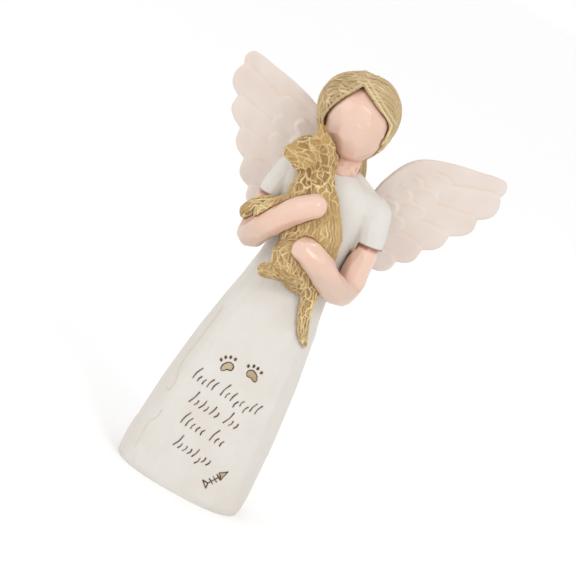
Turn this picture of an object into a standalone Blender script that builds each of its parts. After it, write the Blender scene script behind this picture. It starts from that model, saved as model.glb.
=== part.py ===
"""Pet memorial statue: a faceless angel holding a cat, cast in resin, with two cemented wings.

Three solids: the figure, which is one casting from the hem to the crown with the cat in its arms,
and two wings that sit on flats at the back. +Z is up, the front faces -Y, and the origin is the
middle of the flat underside.
"""
import math

import bmesh
import bpy
from mathutils import Matrix, Vector

# Driving dimensions, in metres
HEIGHT = 0.200
HEM_WIDTH = 0.0614
HEM_DEPTH = 0.0505
WAIST_WIDTH = 0.0346
WING_SPAN = 0.1300
WING_THICKNESS = 0.0052
SEAT_GAP = 0.0003
FIGURE_TRIANGLES = 7000
WING_TRIANGLES = 1400

# The free forms are drawn in the figure's own units, this many of them from underside to crown
UNITS_IN_HEIGHT = 199.2
UNIT = HEIGHT / UNITS_IN_HEIGHT

# Gown: height, share of the flare between waist and hem, and how square the section is
GOWN_ROWS = (
    (-3, 0.90, 2.5),
    (0, 0.955, 2.5),
    (3, 1.0, 2.6),
    (12.5, 0.97, 2.7),
    (30.5, 0.888, 2.7),
    (48.5, 0.761, 2.7),
    (66.5, 0.582, 2.6),
    (84.5, 0.343, 2.5),
    (98.5, 0.134, 2.4),
    (107.5, 0.045, 2.3),
    (119.5, 0.0, 2.3),
)
# Bodice above the waist: height, shares of the waist's width and depth, middle in x
BODICE_ROWS = (
    (119.5, 1.0, 1.0, -0.3),
    (132.5, 1.07, 0.99, -1.3),
    (144.5, 1.13, 0.96, -2.0),
    (151.5, 0.96, 0.83, -2.8),
    (155.8, 0.58, 0.64, -3.8),
    (157.3, 0.38, 0.47, -4.2),
)
BODICE_SQUARENESS = 2.3
RING_POINTS = 72
GOWN_RINGS = 42
BODICE_RINGS = 20
WAIST_DEPTH_SHARE = 0.74
# The front is a little deeper than the back
FRONT_SHARE = 1.03
BACK_SHARE = 0.97

# Head: the hair is a cap around a smooth face that shows through a window in it
FACE_MIDDLE = (-7.4, -2.2, 175.7)
FACE_HALF = (13.3, 14.6, 15.4)
HAIR_MIDDLE = (-9.4, 1.8, 180.3)
HAIR_HALF = (17.5, 18.2, 18.0)
HEAD_LEAN = 11.0
# Window outline from the parting, first down the right temple, then round the chin to the left
WINDOW_POINTS = (
    (-12.4, 190.9),
    (-3.2, 186.5),
    (4.2, 182.3),
    (5.8, 176.3),
    (2.6, 167.7),
    (-6.0, 156.3),
    (-17.0, 162.3),
    (-20.6, 173.9),
    (-18.2, 181.7),
)

# Flats at the back that carry the wings, cut into the waist's depth, and how fast the back rises
# round them
WAIST_HALF = WAIST_WIDTH / 2 / UNIT
SEAT_SHARE = 0.84
SEAT_INNER_SHARE = 0.43
SEAT_PAD_SHARE = 0.79
SEAT_PAD_HALF = (4.6, 5.0)
SEAT_PAD_HEIGHT_SHARE = 0.4
SEAT_Y = WAIST_HALF * WAIST_DEPTH_SHARE * BACK_SHARE * SEAT_SHARE
SEAT_INNER = WAIST_HALF * SEAT_INNER_SHARE
SEAT_LOW = 122.3
SEAT_HIGH = 155.3
SEAT_INNER_SLOPE = 1.2
SEAT_LOW_SLOPE = 0.25
SEAT_HIGH_SLOPE = 0.6
# A point this close to a flat after the skin is lightened belongs to it
FLAT_REACH = 0.25

# Wings, drawn for the right one as if flat, then swept back
WING_ROOT_BEHIND_SEAT = 4.8
WING_SWEEP = 0.19
WING_REACH = 65.0
LEFT_WING_DROP = 2.1
LEFT_WING_TURN = 2.0
WING_TURN_PLACE = (14.0, 138.3)
# Flight feathers: middle of the root, the middle and the round end, each with its half width
FLIGHT_FEATHERS = (
    ((24.0, 165.3, 6.0), (41.0, 174.9, 4.9), (59.6, 179.0, 4.2)),
    ((30.0, 161.3, 6.0), (45.5, 167.2, 6.3), (58.4, 169.4, 6.5)),
    ((26.0, 155.3, 5.4), (41.0, 156.5, 5.7), (53.8, 156.9, 5.7)),
    ((22.0, 148.3, 5.4), (35.0, 146.7, 5.7), (46.1, 145.6, 5.6)),
    ((18.0, 140.8, 5.4), (29.0, 137.1, 5.4), (38.8, 135.2, 5.3)),
    ((14.0, 133.3, 5.4), (23.5, 128.5, 5.0), (32.1, 126.4, 4.3)),
)
# Coverts lie on the flight feathers in two rows: root, round end and half width
COVERTS = (
    ((24.0, 162.8), (37.6, 167.7), 4.0, 1),
    ((22.5, 155.8), (36.8, 159.3), 4.0, 1),
    ((20.0, 149.3), (34.2, 150.9), 4.0, 1),
    ((17.0, 142.8), (28.4, 142.1), 3.9, 1),
    ((14.5, 136.3), (23.6, 134.1), 3.6, 1),
    ((20.5, 161.3), (28.6, 163.5), 3.4, 2),
    ((18.5, 154.3), (27.4, 155.9), 3.4, 2),
    ((16.5, 147.8), (24.4, 147.9), 3.4, 2),
    ((14.5, 141.8), (20.8, 140.9), 3.2, 2),
)
COVERT_STEP = 0.75
WEB_THINNER = 0.62
WING_INNER = 8.8
LEADING_EDGE = ((15.5, 143.3, 5.2), (18.6, 150.9, 5.6), (23.4, 162.3, 6.2), (28.6, 168.7, 6.2))
WING_ROOT = ((13.0, 128.3, 4.4), (13.2, 138.3, 4.8), (14.6, 148.3, 4.8))

COLLECTION_NAME = "pet_memorial_statue"
CUTTER_COLLECTION_NAME = "cutters"
VOXEL = 0.8


def clear_scene():
    """Start from an empty scene."""
    for thing in list(bpy.data.objects):
        bpy.data.objects.remove(thing, do_unlink=True)


def new_collection(name):
    """Add a collection to the scene."""
    group = bpy.data.collections.new(name)
    bpy.context.scene.collection.children.link(group)
    return group


def place(x, y, z):
    """Turn a place in the figure's units into metres."""
    return Vector((x, y, z)) * UNIT


def evaluated_mesh(thing):
    """Give a new mesh of an object with its modifiers or its bevel worked out."""
    bpy.context.view_layer.update()
    graph = bpy.context.evaluated_depsgraph_get()
    return bpy.data.meshes.new_from_object(thing.evaluated_get(graph))


def smooth_between(rows, height):
    """Read a row of values at a height with a smooth curve through the listed rows."""
    last = len(rows) - 2
    spot = 0
    while spot < last and rows[spot + 1][0] <= height:
        spot += 1
    before = rows[max(spot - 1, 0)]
    start = rows[spot]
    end = rows[spot + 1]
    after = rows[min(spot + 2, len(rows) - 1)]
    share = (height - start[0]) / (end[0] - start[0])
    values = []
    for column in range(1, len(start)):
        slope_in = (end[column] - before[column]) / (end[0] - before[0]) * (end[0] - start[0])
        slope_out = (after[column] - start[column]) / (after[0] - start[0]) * (end[0] - start[0])
        cube = share ** 3
        square = share ** 2
        values.append((2 * cube - 3 * square + 1) * start[column]
                      + (cube - 2 * square + share) * slope_in
                      + (3 * square - 2 * cube) * end[column]
                      + (cube - square) * slope_out)
    return values


def section_ring(half_width, front, back, squareness, middle_x, height):
    """Give the points of one closed section: a soft rectangle with its own front and back depth."""
    ring = []
    for step in range(RING_POINTS):
        angle = 2 * math.pi * step / RING_POINTS
        across = math.cos(angle)
        along = math.sin(angle)
        depth = back if along > 0 else front
        x = half_width * math.copysign(abs(across) ** (2 / squareness), across)
        y = depth * math.copysign(abs(along) ** (2 / squareness), along)
        ring.append(Vector((x + middle_x, y, height)))
    return ring


def gown_section(height):
    """Give half width, front depth, back depth and squareness of the gown in metres."""
    share, squareness = smooth_between(GOWN_ROWS, height)
    half_width = (WAIST_WIDTH + (HEM_WIDTH - WAIST_WIDTH) * share) / 2
    waist_depth = WAIST_WIDTH * WAIST_DEPTH_SHARE
    half_depth = (waist_depth + (HEM_DEPTH - waist_depth) * share) / 2
    return half_width, half_depth * FRONT_SHARE, half_depth * BACK_SHARE, squareness


def gown_front(x, height):
    """Give the gown's front surface in units at a place across it, so that things lie on it."""
    half_width, front, _, squareness = gown_section(height)
    share = min(abs(x * UNIT) / half_width, 0.98)
    return -front * (1 - share ** squareness) ** (1 / squareness) / UNIT


def add_loft(clay, rings):
    """Skin a stack of rings and close both ends."""
    rows = []
    for ring in rings:
        rows.append([clay.verts.new(point) for point in ring])
    for lower, upper in zip(rows, rows[1:]):
        for step in range(RING_POINTS):
            following = (step + 1) % RING_POINTS
            clay.faces.new((lower[step], lower[following], upper[following], upper[step]))
    clay.faces.new(list(reversed(rows[0])))
    clay.faces.new(rows[-1])


def add_gown(clay):
    """Loft the skirt from below the underside, where it is pressed flat later, to the waist."""
    rings = []
    low = GOWN_ROWS[0][0]
    high = GOWN_ROWS[-1][0]
    for row in range(GOWN_RINGS + 1):
        height = low + (high - low) * row / GOWN_RINGS
        half_width, front, back, squareness = gown_section(height)
        rings.append(section_ring(half_width, front, back, squareness, 0.0, height * UNIT))
    add_loft(clay, rings)


def add_bodice(clay):
    """Loft the bodice from the waist to the base of the neck."""
    rings = []
    low = BODICE_ROWS[0][0]
    high = BODICE_ROWS[-1][0]
    waist_half = WAIST_WIDTH / 2
    for row in range(BODICE_RINGS + 1):
        height = low - VOXEL + (high - low + VOXEL) * row / BODICE_RINGS
        width_share, depth_share, middle = smooth_between(BODICE_ROWS, max(height, low))
        half_depth = waist_half * WAIST_DEPTH_SHARE * depth_share
        rings.append(section_ring(waist_half * width_share, half_depth * FRONT_SHARE,
                                  half_depth * BACK_SHARE, BODICE_SQUARENESS,
                                  middle * UNIT, height * UNIT))
    add_loft(clay, rings)


def add_ball(clay, middle, half_sizes, lean=0.0):
    """Add an ellipsoid, leaning to the left by some degrees."""
    turn = Matrix.Rotation(math.radians(-lean), 4, "Y")
    stretch = Matrix.Diagonal((*(half * UNIT for half in half_sizes), 1))
    ball = bmesh.new()
    bmesh.ops.create_uvsphere(ball, u_segments=40, v_segments=24, radius=1)
    bmesh.ops.transform(ball, matrix=Matrix.Translation(place(*middle)) @ turn @ stretch,
                        verts=ball.verts)
    mesh = bpy.data.meshes.new("ball")
    ball.to_mesh(mesh)
    ball.free()
    clay.from_mesh(mesh)
    bpy.data.meshes.remove(mesh)


def add_limb(clay, stations, flatness=1.0):
    """Add a limb through (x, y, z, radius) stations with round ends, its depth cut to a share."""
    first = len(clay.verts)
    curve = bpy.data.curves.new("limb", "CURVE")
    curve.dimensions = "3D"
    curve.bevel_depth = UNIT
    curve.bevel_resolution = 5
    curve.resolution_u = 8
    curve.use_fill_caps = True
    spline = curve.splines.new("BEZIER")
    spline.bezier_points.add(len(stations) - 1)
    for point, (x, y, z, radius) in zip(spline.bezier_points, stations):
        point.co = place(x, y, z)
        point.handle_left_type = "AUTO"
        point.handle_right_type = "AUTO"
        point.radius = radius
    guide = bpy.data.objects.new("limb", curve)
    bpy.context.scene.collection.objects.link(guide)
    mesh = evaluated_mesh(guide)
    clay.from_mesh(mesh)
    bpy.data.objects.remove(guide, do_unlink=True)
    bpy.data.meshes.remove(mesh)
    for x, y, z, radius in (stations[0], stations[-1]):
        add_ball(clay, (x, y, z), (radius, radius, radius))
    if flatness < 1:
        clay.verts.ensure_lookup_table()
        middle = sum(station[1] for station in stations) / len(stations) * UNIT
        for vert in clay.verts[first:]:
            vert.co.y = middle + (vert.co.y - middle) * flatness


def add_sleeves_and_arms(clay):
    """Add both shoulders, short sleeves, and the arms that hold the cat."""
    add_limb(clay, ((-21.0, 0.5, 144.1, 9.0), (-10.0, 0.5, 146.3, 9.0), (6.0, 0.5, 146.3, 9.0),
                    (16.8, 0.5, 144.9, 9.0)))
    add_limb(clay, ((17.6, 0.0, 144.3, 8.6), (20.6, -2.0, 138.3, 7.3), (22.4, -3.6, 131.2, 6.0)))
    add_limb(clay, ((-21.8, 0.0, 143.7, 8.6), (-24.0, -2.0, 138.3, 7.2), (-25.2, -3.6, 130.9, 6.0)))
    add_limb(clay, ((22.4, -3.6, 132.3, 5.6), (22.8, -6.5, 122.3, 5.8), (22.4, -10.5, 111.3, 6.0),
                    (15.8, -18.5, 112.6, 6.2), (9.0, -24.0, 117.5, 6.3), (2.5, -27.0, 120.7, 6.1),
                    (-0.6, -27.5, 121.5, 5.6)))
    add_limb(clay, ((-25.2, -3.6, 132.3, 5.4), (-25.2, -7.0, 122.3, 5.6), (-24.9, -11.5, 113.9, 5.7),
                    (-20.4, -18.0, 120.9, 5.7), (-15.8, -22.5, 128.7, 5.6), (-10.6, -25.6, 135.7, 5.8),
                    (-6.2, -26.6, 139.7, 5.4)))


def add_head(clay, cutters):
    """Add the neck, the blank face, and the hair with its window and low tail."""
    add_limb(clay, ((-4.2, 1.0, 148.3, 7.4), (-4.4, 0.6, 156.3, 7.0), (-6.0, 0.0, 166.3, 7.4)))
    add_ball(clay, FACE_MIDDLE, FACE_HALF, HEAD_LEAN)
    add_ball(clay, (-9.6, -1.6, 179.9), (13.6, 14.4, 14.0), HEAD_LEAN)
    add_ball(clay, (-6.0, -3.4, 168.7), (9.0, 10.4, 8.0), HEAD_LEAN)
    add_hair_cap(clay, cutters)
    add_limb(clay, ((-4.6, 9.0, 169.3, 7.4), (-2.4, 11.0, 162.3, 6.2), (0.6, 12.0, 155.3, 6.4),
                    (1.2, 12.6, 147.3, 6.2), (0.6, 12.6, 138.3, 4.6), (0.0, 11.8, 129.3, 2.0)))


def add_hair_cap(clay, cutters):
    """Cut the face window out of the hair's ellipsoid, then add it with its locks."""
    cap = bmesh.new()
    add_ball(cap, HAIR_MIDDLE, HAIR_HALF, HEAD_LEAN)
    for lock in hair_locks():
        add_limb(cap, lock)
    hair_mesh = bpy.data.meshes.new("hair_cap")
    cap.to_mesh(hair_mesh)
    cap.free()
    hair = bpy.data.objects.new("hair_cap", hair_mesh)
    bpy.context.scene.collection.objects.link(hair)
    fuse(hair, 0)
    cut(hair, add_window(cutters))
    bake(hair)
    clay.from_mesh(hair.data)
    bpy.data.objects.remove(hair, do_unlink=True)


def hair_locks():
    """Work out the locks that sweep from the parting round each side of the head to the nape."""
    middle = Vector(HAIR_MIDDLE)
    half = Vector(HAIR_HALF)
    turn = Matrix.Rotation(math.radians(-HEAD_LEAN), 3, "Y")
    locks = []
    for side, count in ((1, 7), (-1, 6)):
        for number in range(count):
            share = (number + 0.5) / count
            stations = []
            for step in range(6):
                travel = step / 5
                from_parting = math.radians(-62 + 128 * share)
                start = Vector((-0.17, math.sin(from_parting), math.cos(from_parting)))
                low = Vector((side * (0.55 + 0.2 * math.sin(math.pi * share)),
                              -0.42 + 1.15 * share, -0.30 - 0.35 * share))
                bow = Vector((side * 0.85, 0.0, 0.35)) * math.sin(math.pi * travel)
                around = (start * (1 - travel) + low * travel + bow).normalized()
                spot = middle + turn @ Vector([around[i] * half[i] for i in range(3)]) * 0.945
                radius = 1.9 + 0.9 * math.sin(math.pi * min(travel + 0.15, 1))
                stations.append((*spot, radius))
            locks.append(stations)
    return locks


def add_window(cutters):
    """Make the prism that opens the hair in front of the face, pointed at the parting."""
    outline = bpy.data.curves.new("face_window", "CURVE")
    outline.dimensions = "2D"
    outline.fill_mode = "BOTH"
    outline.extrude = 12 * UNIT
    outline.resolution_u = 8
    spline = outline.splines.new("BEZIER")
    spline.use_cyclic_u = True
    spline.bezier_points.add(len(WINDOW_POINTS) - 1)
    for number, (point, (x, z)) in enumerate(zip(spline.bezier_points, WINDOW_POINTS)):
        point.co = Vector((x, z, 0)) * UNIT
        handle = "VECTOR" if number == 0 else "AUTO"
        point.handle_left_type = handle
        point.handle_right_type = handle
    guide = bpy.data.objects.new("face_window_guide", outline)
    cutters.objects.link(guide)
    guide.rotation_euler = (math.radians(90), 0, 0)
    guide.location = (0, -14.5 * UNIT, 0)
    mesh = evaluated_mesh(guide)
    shape = bmesh.new()
    shape.from_mesh(mesh)
    bmesh.ops.remove_doubles(shape, verts=shape.verts, dist=0.00001)
    bmesh.ops.transform(shape, matrix=guide.matrix_world, verts=shape.verts)
    bmesh.ops.recalc_face_normals(shape, faces=shape.faces)
    shape.to_mesh(mesh)
    shape.free()
    bpy.data.objects.remove(guide, do_unlink=True)
    window = bpy.data.objects.new("face_window", mesh)
    window.hide_render = True
    window.display_type = "WIRE"
    cutters.objects.link(window)
    return window


def add_cat(clay):
    """Add the long cat: head in profile, ears, body, forepaws, thigh, hind foot and tail."""
    add_ball(clay, (-18.2, -15.0, 156.5), (9.8, 8.4, 8.8), 10)
    add_ball(clay, (-25.0, -15.6, 153.9), (4.8, 5.4, 3.9), 0)
    add_limb(clay, ((-14.6, -16.5, 161.3, 5.0), (-17.8, -16.0, 165.7, 3.2), (-20.9, -15.2, 169.7, 1.2)))
    add_limb(clay, ((-13.4, -9.5, 160.3, 4.6), (-16.4, -8.5, 164.7, 2.8), (-18.4, -8.0, 167.3, 1.2)))
    add_limb(clay, ((-14.5, -15.2, 156.3, 7.4), (-10.8, -16.0, 147.3, 8.6), (-6.2, -16.6, 137.8, 11.4),
                    (-1.8, -16.4, 127.3, 13.8), (0.8, -16.0, 117.8, 13.0), (3.0, -15.6, 112.3, 11.0)),
             0.72)
    add_ball(clay, (-13.4, -16.4, 140.7), (6.4, 7.4, 8.6), 0)
    add_ball(clay, (-11.6, -8.4, 156.0), (5.4, 6.4, 7.4), 0)
    add_ball(clay, (-3.4, -19.4, 115.3), (9.4, 8.0, 10.4), 0)
    add_limb(clay, ((6.5, -19.0, 108.9, 4.0), (0.0, -20.6, 107.9, 3.7), (-6.4, -22.0, 106.5, 3.6),
                    (-11.6, -22.8, 104.9, 3.3)))
    add_limb(clay, ((-15.0, -17.5, 136.3, 3.6), (-19.6, -19.4, 133.3, 3.0), (-23.2, -18.6, 128.9, 3.0),
                    (-25.4, -17.4, 124.9, 3.0)))
    add_limb(clay, ((-24.0, -14.0, 130.7, 2.8), (-29.0, -13.4, 126.6, 3.0), (-31.0, -11.4, 121.4, 3.1)))
    tail = []
    for x, height, radius, proud in ((9.6, 108.4, 4.4, 5.0), (11.2, 100.4, 3.4, 3.0),
                                     (12.8, 94.4, 3.0, 2.2), (15.4, 88.4, 2.6, 1.8),
                                     (19.2, 82.9, 1.3, 0.9)):
        tail.append((x, gown_front(x, height) - proud, height, radius))
    add_limb(clay, tail)


def bake(thing):
    """Give an object the mesh that its modifiers make, and drop them."""
    mesh = evaluated_mesh(thing)
    spent = thing.data
    thing.modifiers.clear()
    thing.data = mesh
    bpy.data.meshes.remove(spent)


def fuse(thing, rounds):
    """Fuse everything in an object to one skin, and rub away the steps that the voxels leave."""
    skin = thing.modifiers.new("fuse", "REMESH")
    skin.mode = "VOXEL"
    skin.voxel_size = VOXEL * UNIT
    if rounds:
        rub = thing.modifiers.new("soften", "SMOOTH")
        rub.factor = 0.5
        rub.iterations = rounds
    bake(thing)


def lighten(thing, triangles):
    """Reduce a dense skin to about a number of triangles."""
    thing.data.calc_loop_triangles()
    thin = thing.modifiers.new("lighten", "DECIMATE")
    thin.ratio = min(1.0, triangles / len(thing.data.loop_triangles))
    thin.use_collapse_triangulate = True
    bake(thing)


def cut(thing, cutter):
    """Cut one object by another with a Boolean."""
    bite = thing.modifiers.new("cut", "BOOLEAN")
    bite.operation = "DIFFERENCE"
    bite.solver = "EXACT"
    bite.object = cutter


def seat_limit(x, z):
    """Say how far back the figure may reach at a place, in units, so that the wings seat flat."""
    inward = max(0.0, SEAT_INNER - abs(x)) * SEAT_INNER_SLOPE
    below = max(0.0, SEAT_LOW - z) * SEAT_LOW_SLOPE
    above = max(0.0, z - SEAT_HIGH) * SEAT_HIGH_SLOPE
    return SEAT_Y + inward + below + above


def press_figure(figure, reach):
    """Press the underside and the wing seats flat, with all that lies within reach of them."""
    for vert in figure.data.vertices:
        x, y, z = vert.co / UNIT
        limit = seat_limit(x, z)
        on_seat = limit == SEAT_Y and abs(y - limit) < reach
        if y > limit or on_seat:
            vert.co.y = limit * UNIT
        if z < reach:
            vert.co.z = 0


def press_wing(wing, reach):
    """Press the wing's seat flat, a gap behind the figure's."""
    front = SEAT_Y * UNIT + SEAT_GAP
    for vert in wing.data.vertices:
        if vert.co.y < front + reach * UNIT:
            vert.co.y = front


def material(name, colour, roughness):
    """Make a plain painted-resin material."""
    paint = bpy.data.materials.new(name)
    paint.use_nodes = True
    shader = paint.node_tree.nodes["Principled BSDF"]
    shader.inputs["Base Color"].default_value = (*colour, 1)
    shader.inputs["Roughness"].default_value = roughness
    shader.inputs["Metallic"].default_value = 0
    return paint


def make_object(name, clay, group, paint):
    """Turn clay into a named object of the part."""
    mesh = bpy.data.meshes.new(name)
    clay.to_mesh(mesh)
    clay.free()
    thing = bpy.data.objects.new(name, mesh)
    group.objects.link(thing)
    mesh.materials.append(paint)
    return thing


def make_figure(group, cutters):
    """Build the one-piece casting and cut its underside and wing seats flat."""
    clay = bmesh.new()
    add_gown(clay)
    add_bodice(clay)
    add_sleeves_and_arms(clay)
    add_head(clay, cutters)
    add_cat(clay)
    figure = make_object("figure", clay, group, material("gown_paint", (0.80, 0.76, 0.70), 0.6))
    fuse(figure, 3)
    press_figure(figure, 0)
    lighten(figure, FIGURE_TRIANGLES)
    press_figure(figure, FLAT_REACH)


def add_feather(clay, stations, layer, thinner=1.0):
    """Add one flat rounded feather through (x, z, half width) stations, on a layer to the front."""
    first = len(clay.verts)
    add_limb(clay, [(x, 0.0, z, half) for x, z, half in stations])
    clay.verts.ensure_lookup_table()
    grown = clay.verts[first:]
    widest = max(half for _, _, half in stations) * UNIT
    flatten = Matrix.Diagonal((1, WING_THICKNESS / 2 / widest * thinner, 1, 1))
    forward = Matrix.Translation((0, -layer * COVERT_STEP * UNIT, 0))
    bmesh.ops.transform(clay, matrix=forward @ flatten, verts=grown)


def web_between(upper, lower):
    """Work out the thin web that fills the groove between two neighbouring feathers."""
    web = []
    for (x_up, z_up, half_up), (x_low, z_low, half_low) in zip(upper, lower):
        web.append(((x_up + x_low) / 2, (z_up + z_low) / 2, (half_up + half_low) / 2))
    x, z, half = web[-1]
    shorter = min(upper[-1][0], lower[-1][0])
    web[-1] = (min(x, shorter) - half * 0.4, z, half * 0.9)
    return web


def make_wing(side, group, paint):
    """Build one wing: feathers in layers, swept back, with a pad that seats on the figure's back."""
    clay = bmesh.new()
    for stations in FLIGHT_FEATHERS:
        add_feather(clay, stations, 0)
    for upper, lower in zip(FLIGHT_FEATHERS, FLIGHT_FEATHERS[1:]):
        add_feather(clay, web_between(upper, lower), 0, WEB_THINNER)
    for root, end, half, layer in COVERTS:
        add_feather(clay, ((*root, half), (*end, half)), layer)
    add_feather(clay, LEADING_EDGE, 0.5)
    add_feather(clay, WING_ROOT, 0)
    stretch = (WING_SPAN / 2 / UNIT - WING_INNER) / (WING_REACH - WING_INNER)
    for vert in clay.verts:
        out = vert.co.x / UNIT - WING_INNER
        vert.co.x = (WING_INNER + out * stretch) * UNIT
        vert.co.y += (SEAT_Y + WING_ROOT_BEHIND_SEAT + WING_SWEEP * out) * UNIT
    pad_middle = (WAIST_HALF * SEAT_PAD_SHARE, SEAT_Y + SEAT_PAD_HALF[1] * 0.4,
                  (SEAT_LOW + SEAT_HIGH) / 2)
    add_ball(clay, pad_middle, (*SEAT_PAD_HALF, (SEAT_HIGH - SEAT_LOW) * SEAT_PAD_HEIGHT_SHARE))
    if side < 0:
        pivot = Vector((WING_TURN_PLACE[0], 0, WING_TURN_PLACE[1])) * UNIT
        turn = Matrix.Rotation(math.radians(LEFT_WING_TURN), 4, "Y")
        drop = Matrix.Translation((0, 0, -LEFT_WING_DROP * UNIT))
        pose = drop @ Matrix.Translation(pivot) @ turn @ Matrix.Translation(-pivot)
        bmesh.ops.transform(clay, matrix=Matrix.Diagonal((-1, 1, 1, 1)) @ pose, verts=clay.verts)
        bmesh.ops.reverse_faces(clay, faces=clay.faces)
    name = "wing_right" if side > 0 else "wing_left"
    wing = make_object(name, clay, group, paint)
    fuse(wing, 2)
    press_wing(wing, 0)
    lighten(wing, WING_TRIANGLES)
    press_wing(wing, FLAT_REACH)


def main():
    """Build the three solids of the statue."""
    clear_scene()
    group = new_collection(COLLECTION_NAME)
    cutters = new_collection(CUTTER_COLLECTION_NAME)
    make_figure(group, cutters)
    wing_paint = material("wing_paint", (0.78, 0.69, 0.62), 0.6)
    for side in (-1, 1):
        make_wing(side, group, wing_paint)


main()
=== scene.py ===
# %% [markdown]
# This lesson dresses a small keepsake statue: an angel with a blank face who holds a long cat.
# The real thing is cast in resin from a carved original and painted by hand. So nearly every
# surface shows the carver's flat cuts, and the paint is a soft base coat with a brown wash that
# stays in the hollows. The frame below holds the plain solids; here each painted region becomes
# a finely carved piece of its own, in the same place and the same size.

# %% Load the plain model
import math
from collections import namedtuple

import bmesh
import bpy
import numpy as np
from mathutils import Matrix, Vector
from mathutils.bvhtree import BVHTree
from mathutils.kdtree import KDTree


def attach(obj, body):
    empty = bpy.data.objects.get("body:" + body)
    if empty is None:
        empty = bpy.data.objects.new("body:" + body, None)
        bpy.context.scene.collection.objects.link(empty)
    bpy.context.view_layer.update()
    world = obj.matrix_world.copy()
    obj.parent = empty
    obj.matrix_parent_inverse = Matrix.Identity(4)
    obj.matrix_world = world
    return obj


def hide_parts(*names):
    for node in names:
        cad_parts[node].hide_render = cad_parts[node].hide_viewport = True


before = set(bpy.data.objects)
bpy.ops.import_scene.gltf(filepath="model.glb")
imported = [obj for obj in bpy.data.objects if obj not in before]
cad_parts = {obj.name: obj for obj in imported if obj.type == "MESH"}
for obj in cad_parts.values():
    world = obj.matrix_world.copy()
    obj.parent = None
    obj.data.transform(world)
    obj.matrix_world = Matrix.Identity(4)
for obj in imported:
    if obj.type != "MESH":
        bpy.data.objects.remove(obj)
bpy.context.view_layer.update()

# %% [markdown]
# The statue is drawn in units of its own, about a millimetre each, with 199.2 of them from the
# underside to the crown. The tables below are the ones that the plain solids were made from, so
# every carved piece lies on its solid. Reading a table with a smooth curve, and not with straight
# runs, is what keeps the gown's outline free of corners.

# %% The statue's own units and the gown's tables
HEIGHT = 0.200
UNIT = HEIGHT / 199.2
HEM_WIDTH = 0.0614 / UNIT
HEM_DEPTH = 0.0505 / UNIT
WAIST_WIDTH = 0.0346 / UNIT
WAIST_DEPTH = WAIST_WIDTH * 0.74
FRONT_SHARE = 1.03
BACK_SHARE = 0.97
# Gown: height, share of the flare between waist and hem, and how square the section is
GOWN_ROWS = (
    (-3, 0.90, 2.5), (0, 0.955, 2.5), (3, 1.0, 2.6), (12.5, 0.97, 2.7), (30.5, 0.888, 2.7),
    (48.5, 0.761, 2.7), (66.5, 0.582, 2.6), (84.5, 0.343, 2.5), (98.5, 0.134, 2.4),
    (107.5, 0.045, 2.3), (119.5, 0.0, 2.3),
)
# Bodice: height, shares of the waist's width and depth, middle in x
BODICE_ROWS = (
    (119.5, 1.0, 1.0, -0.3), (132.5, 1.07, 0.99, -1.3), (144.5, 1.13, 0.96, -2.0),
    (151.5, 0.96, 0.83, -2.8), (155.8, 0.58, 0.64, -3.8), (157.3, 0.38, 0.47, -4.2),
)
BODICE_SQUARENESS = 2.3


def smooth_between(rows, height):
    """Read a row of values at a height with a smooth curve through the listed rows."""
    last = len(rows) - 2
    spot = 0
    while spot < last and rows[spot + 1][0] <= height:
        spot += 1
    before, start = rows[max(spot - 1, 0)], rows[spot]
    end, after = rows[spot + 1], rows[min(spot + 2, len(rows) - 1)]
    step = end[0] - start[0]
    share = (height - start[0]) / step
    cube, square = share ** 3, share ** 2
    values = []
    for column in range(1, len(start)):
        slope_in = (end[column] - before[column]) / (end[0] - before[0]) * step
        slope_out = (after[column] - start[column]) / (after[0] - start[0]) * step
        values.append((2 * cube - 3 * square + 1) * start[column] + (cube - 2 * square + share) * slope_in
                      + (3 * square - 2 * cube) * end[column] + (cube - square) * slope_out)
    return values


def gown_section(height):
    """Give half width, front depth, back depth and squareness of the gown."""
    share, squareness = smooth_between(GOWN_ROWS, height)
    half_width = (WAIST_WIDTH + (HEM_WIDTH - WAIST_WIDTH) * share) / 2
    half_depth = (WAIST_DEPTH + (HEM_DEPTH - WAIST_DEPTH) * share) / 2
    return half_width, half_depth * FRONT_SHARE, half_depth * BACK_SHARE, squareness


def gown_front(x, height):
    """Give the gown's front surface at a place across it, so that things lie on it."""
    half_width, front, _, squareness = gown_section(height)
    share = min(abs(x) / half_width, 0.98)
    return -front * (1 - share ** squareness) ** (1 / squareness)


print("gown front at the middle of the hem", round(gown_front(0, 3), 2), "units")

# %% [markdown]
# The soft forms start as clay: balls and limbs that overlap in one mesh. A limb is a curve with a
# round bevel whose thickness changes along it. Blender's voxel remesh then fuses the lumps to one
# skin, as wet clay would fuse. It could also be done with metaballs, but those swell where they
# meet, and the sizes would drift away from the plain solids.

# %% Objects, meshes and drawn curves


def put_in_scene(name, data):
    """Make an object of a mesh, a curve, a lamp or a camera, and put it in the scene."""
    thing = bpy.data.objects.new(name, data)
    bpy.context.scene.collection.objects.link(thing)
    return thing


def mesh_of(thing):
    """Give a new mesh of an object with its modifiers or its bevel worked out."""
    bpy.context.view_layer.update()
    return bpy.data.meshes.new_from_object(thing.evaluated_get(bpy.context.evaluated_depsgraph_get()))


def harden(name, clay):
    """Turn clay into a mesh and let the clay go."""
    mesh = bpy.data.meshes.new(name)
    clay.to_mesh(mesh)
    clay.free()
    return mesh


def rework(mesh, change):
    """Open a mesh as clay, change it, and close it again."""
    clay = bmesh.new()
    clay.from_mesh(mesh)
    change(clay)
    clay.to_mesh(mesh)
    clay.free()


def pour(clay, mesh):
    """Add a mesh to the clay and drop it."""
    clay.from_mesh(mesh)
    bpy.data.meshes.remove(mesh)


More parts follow.
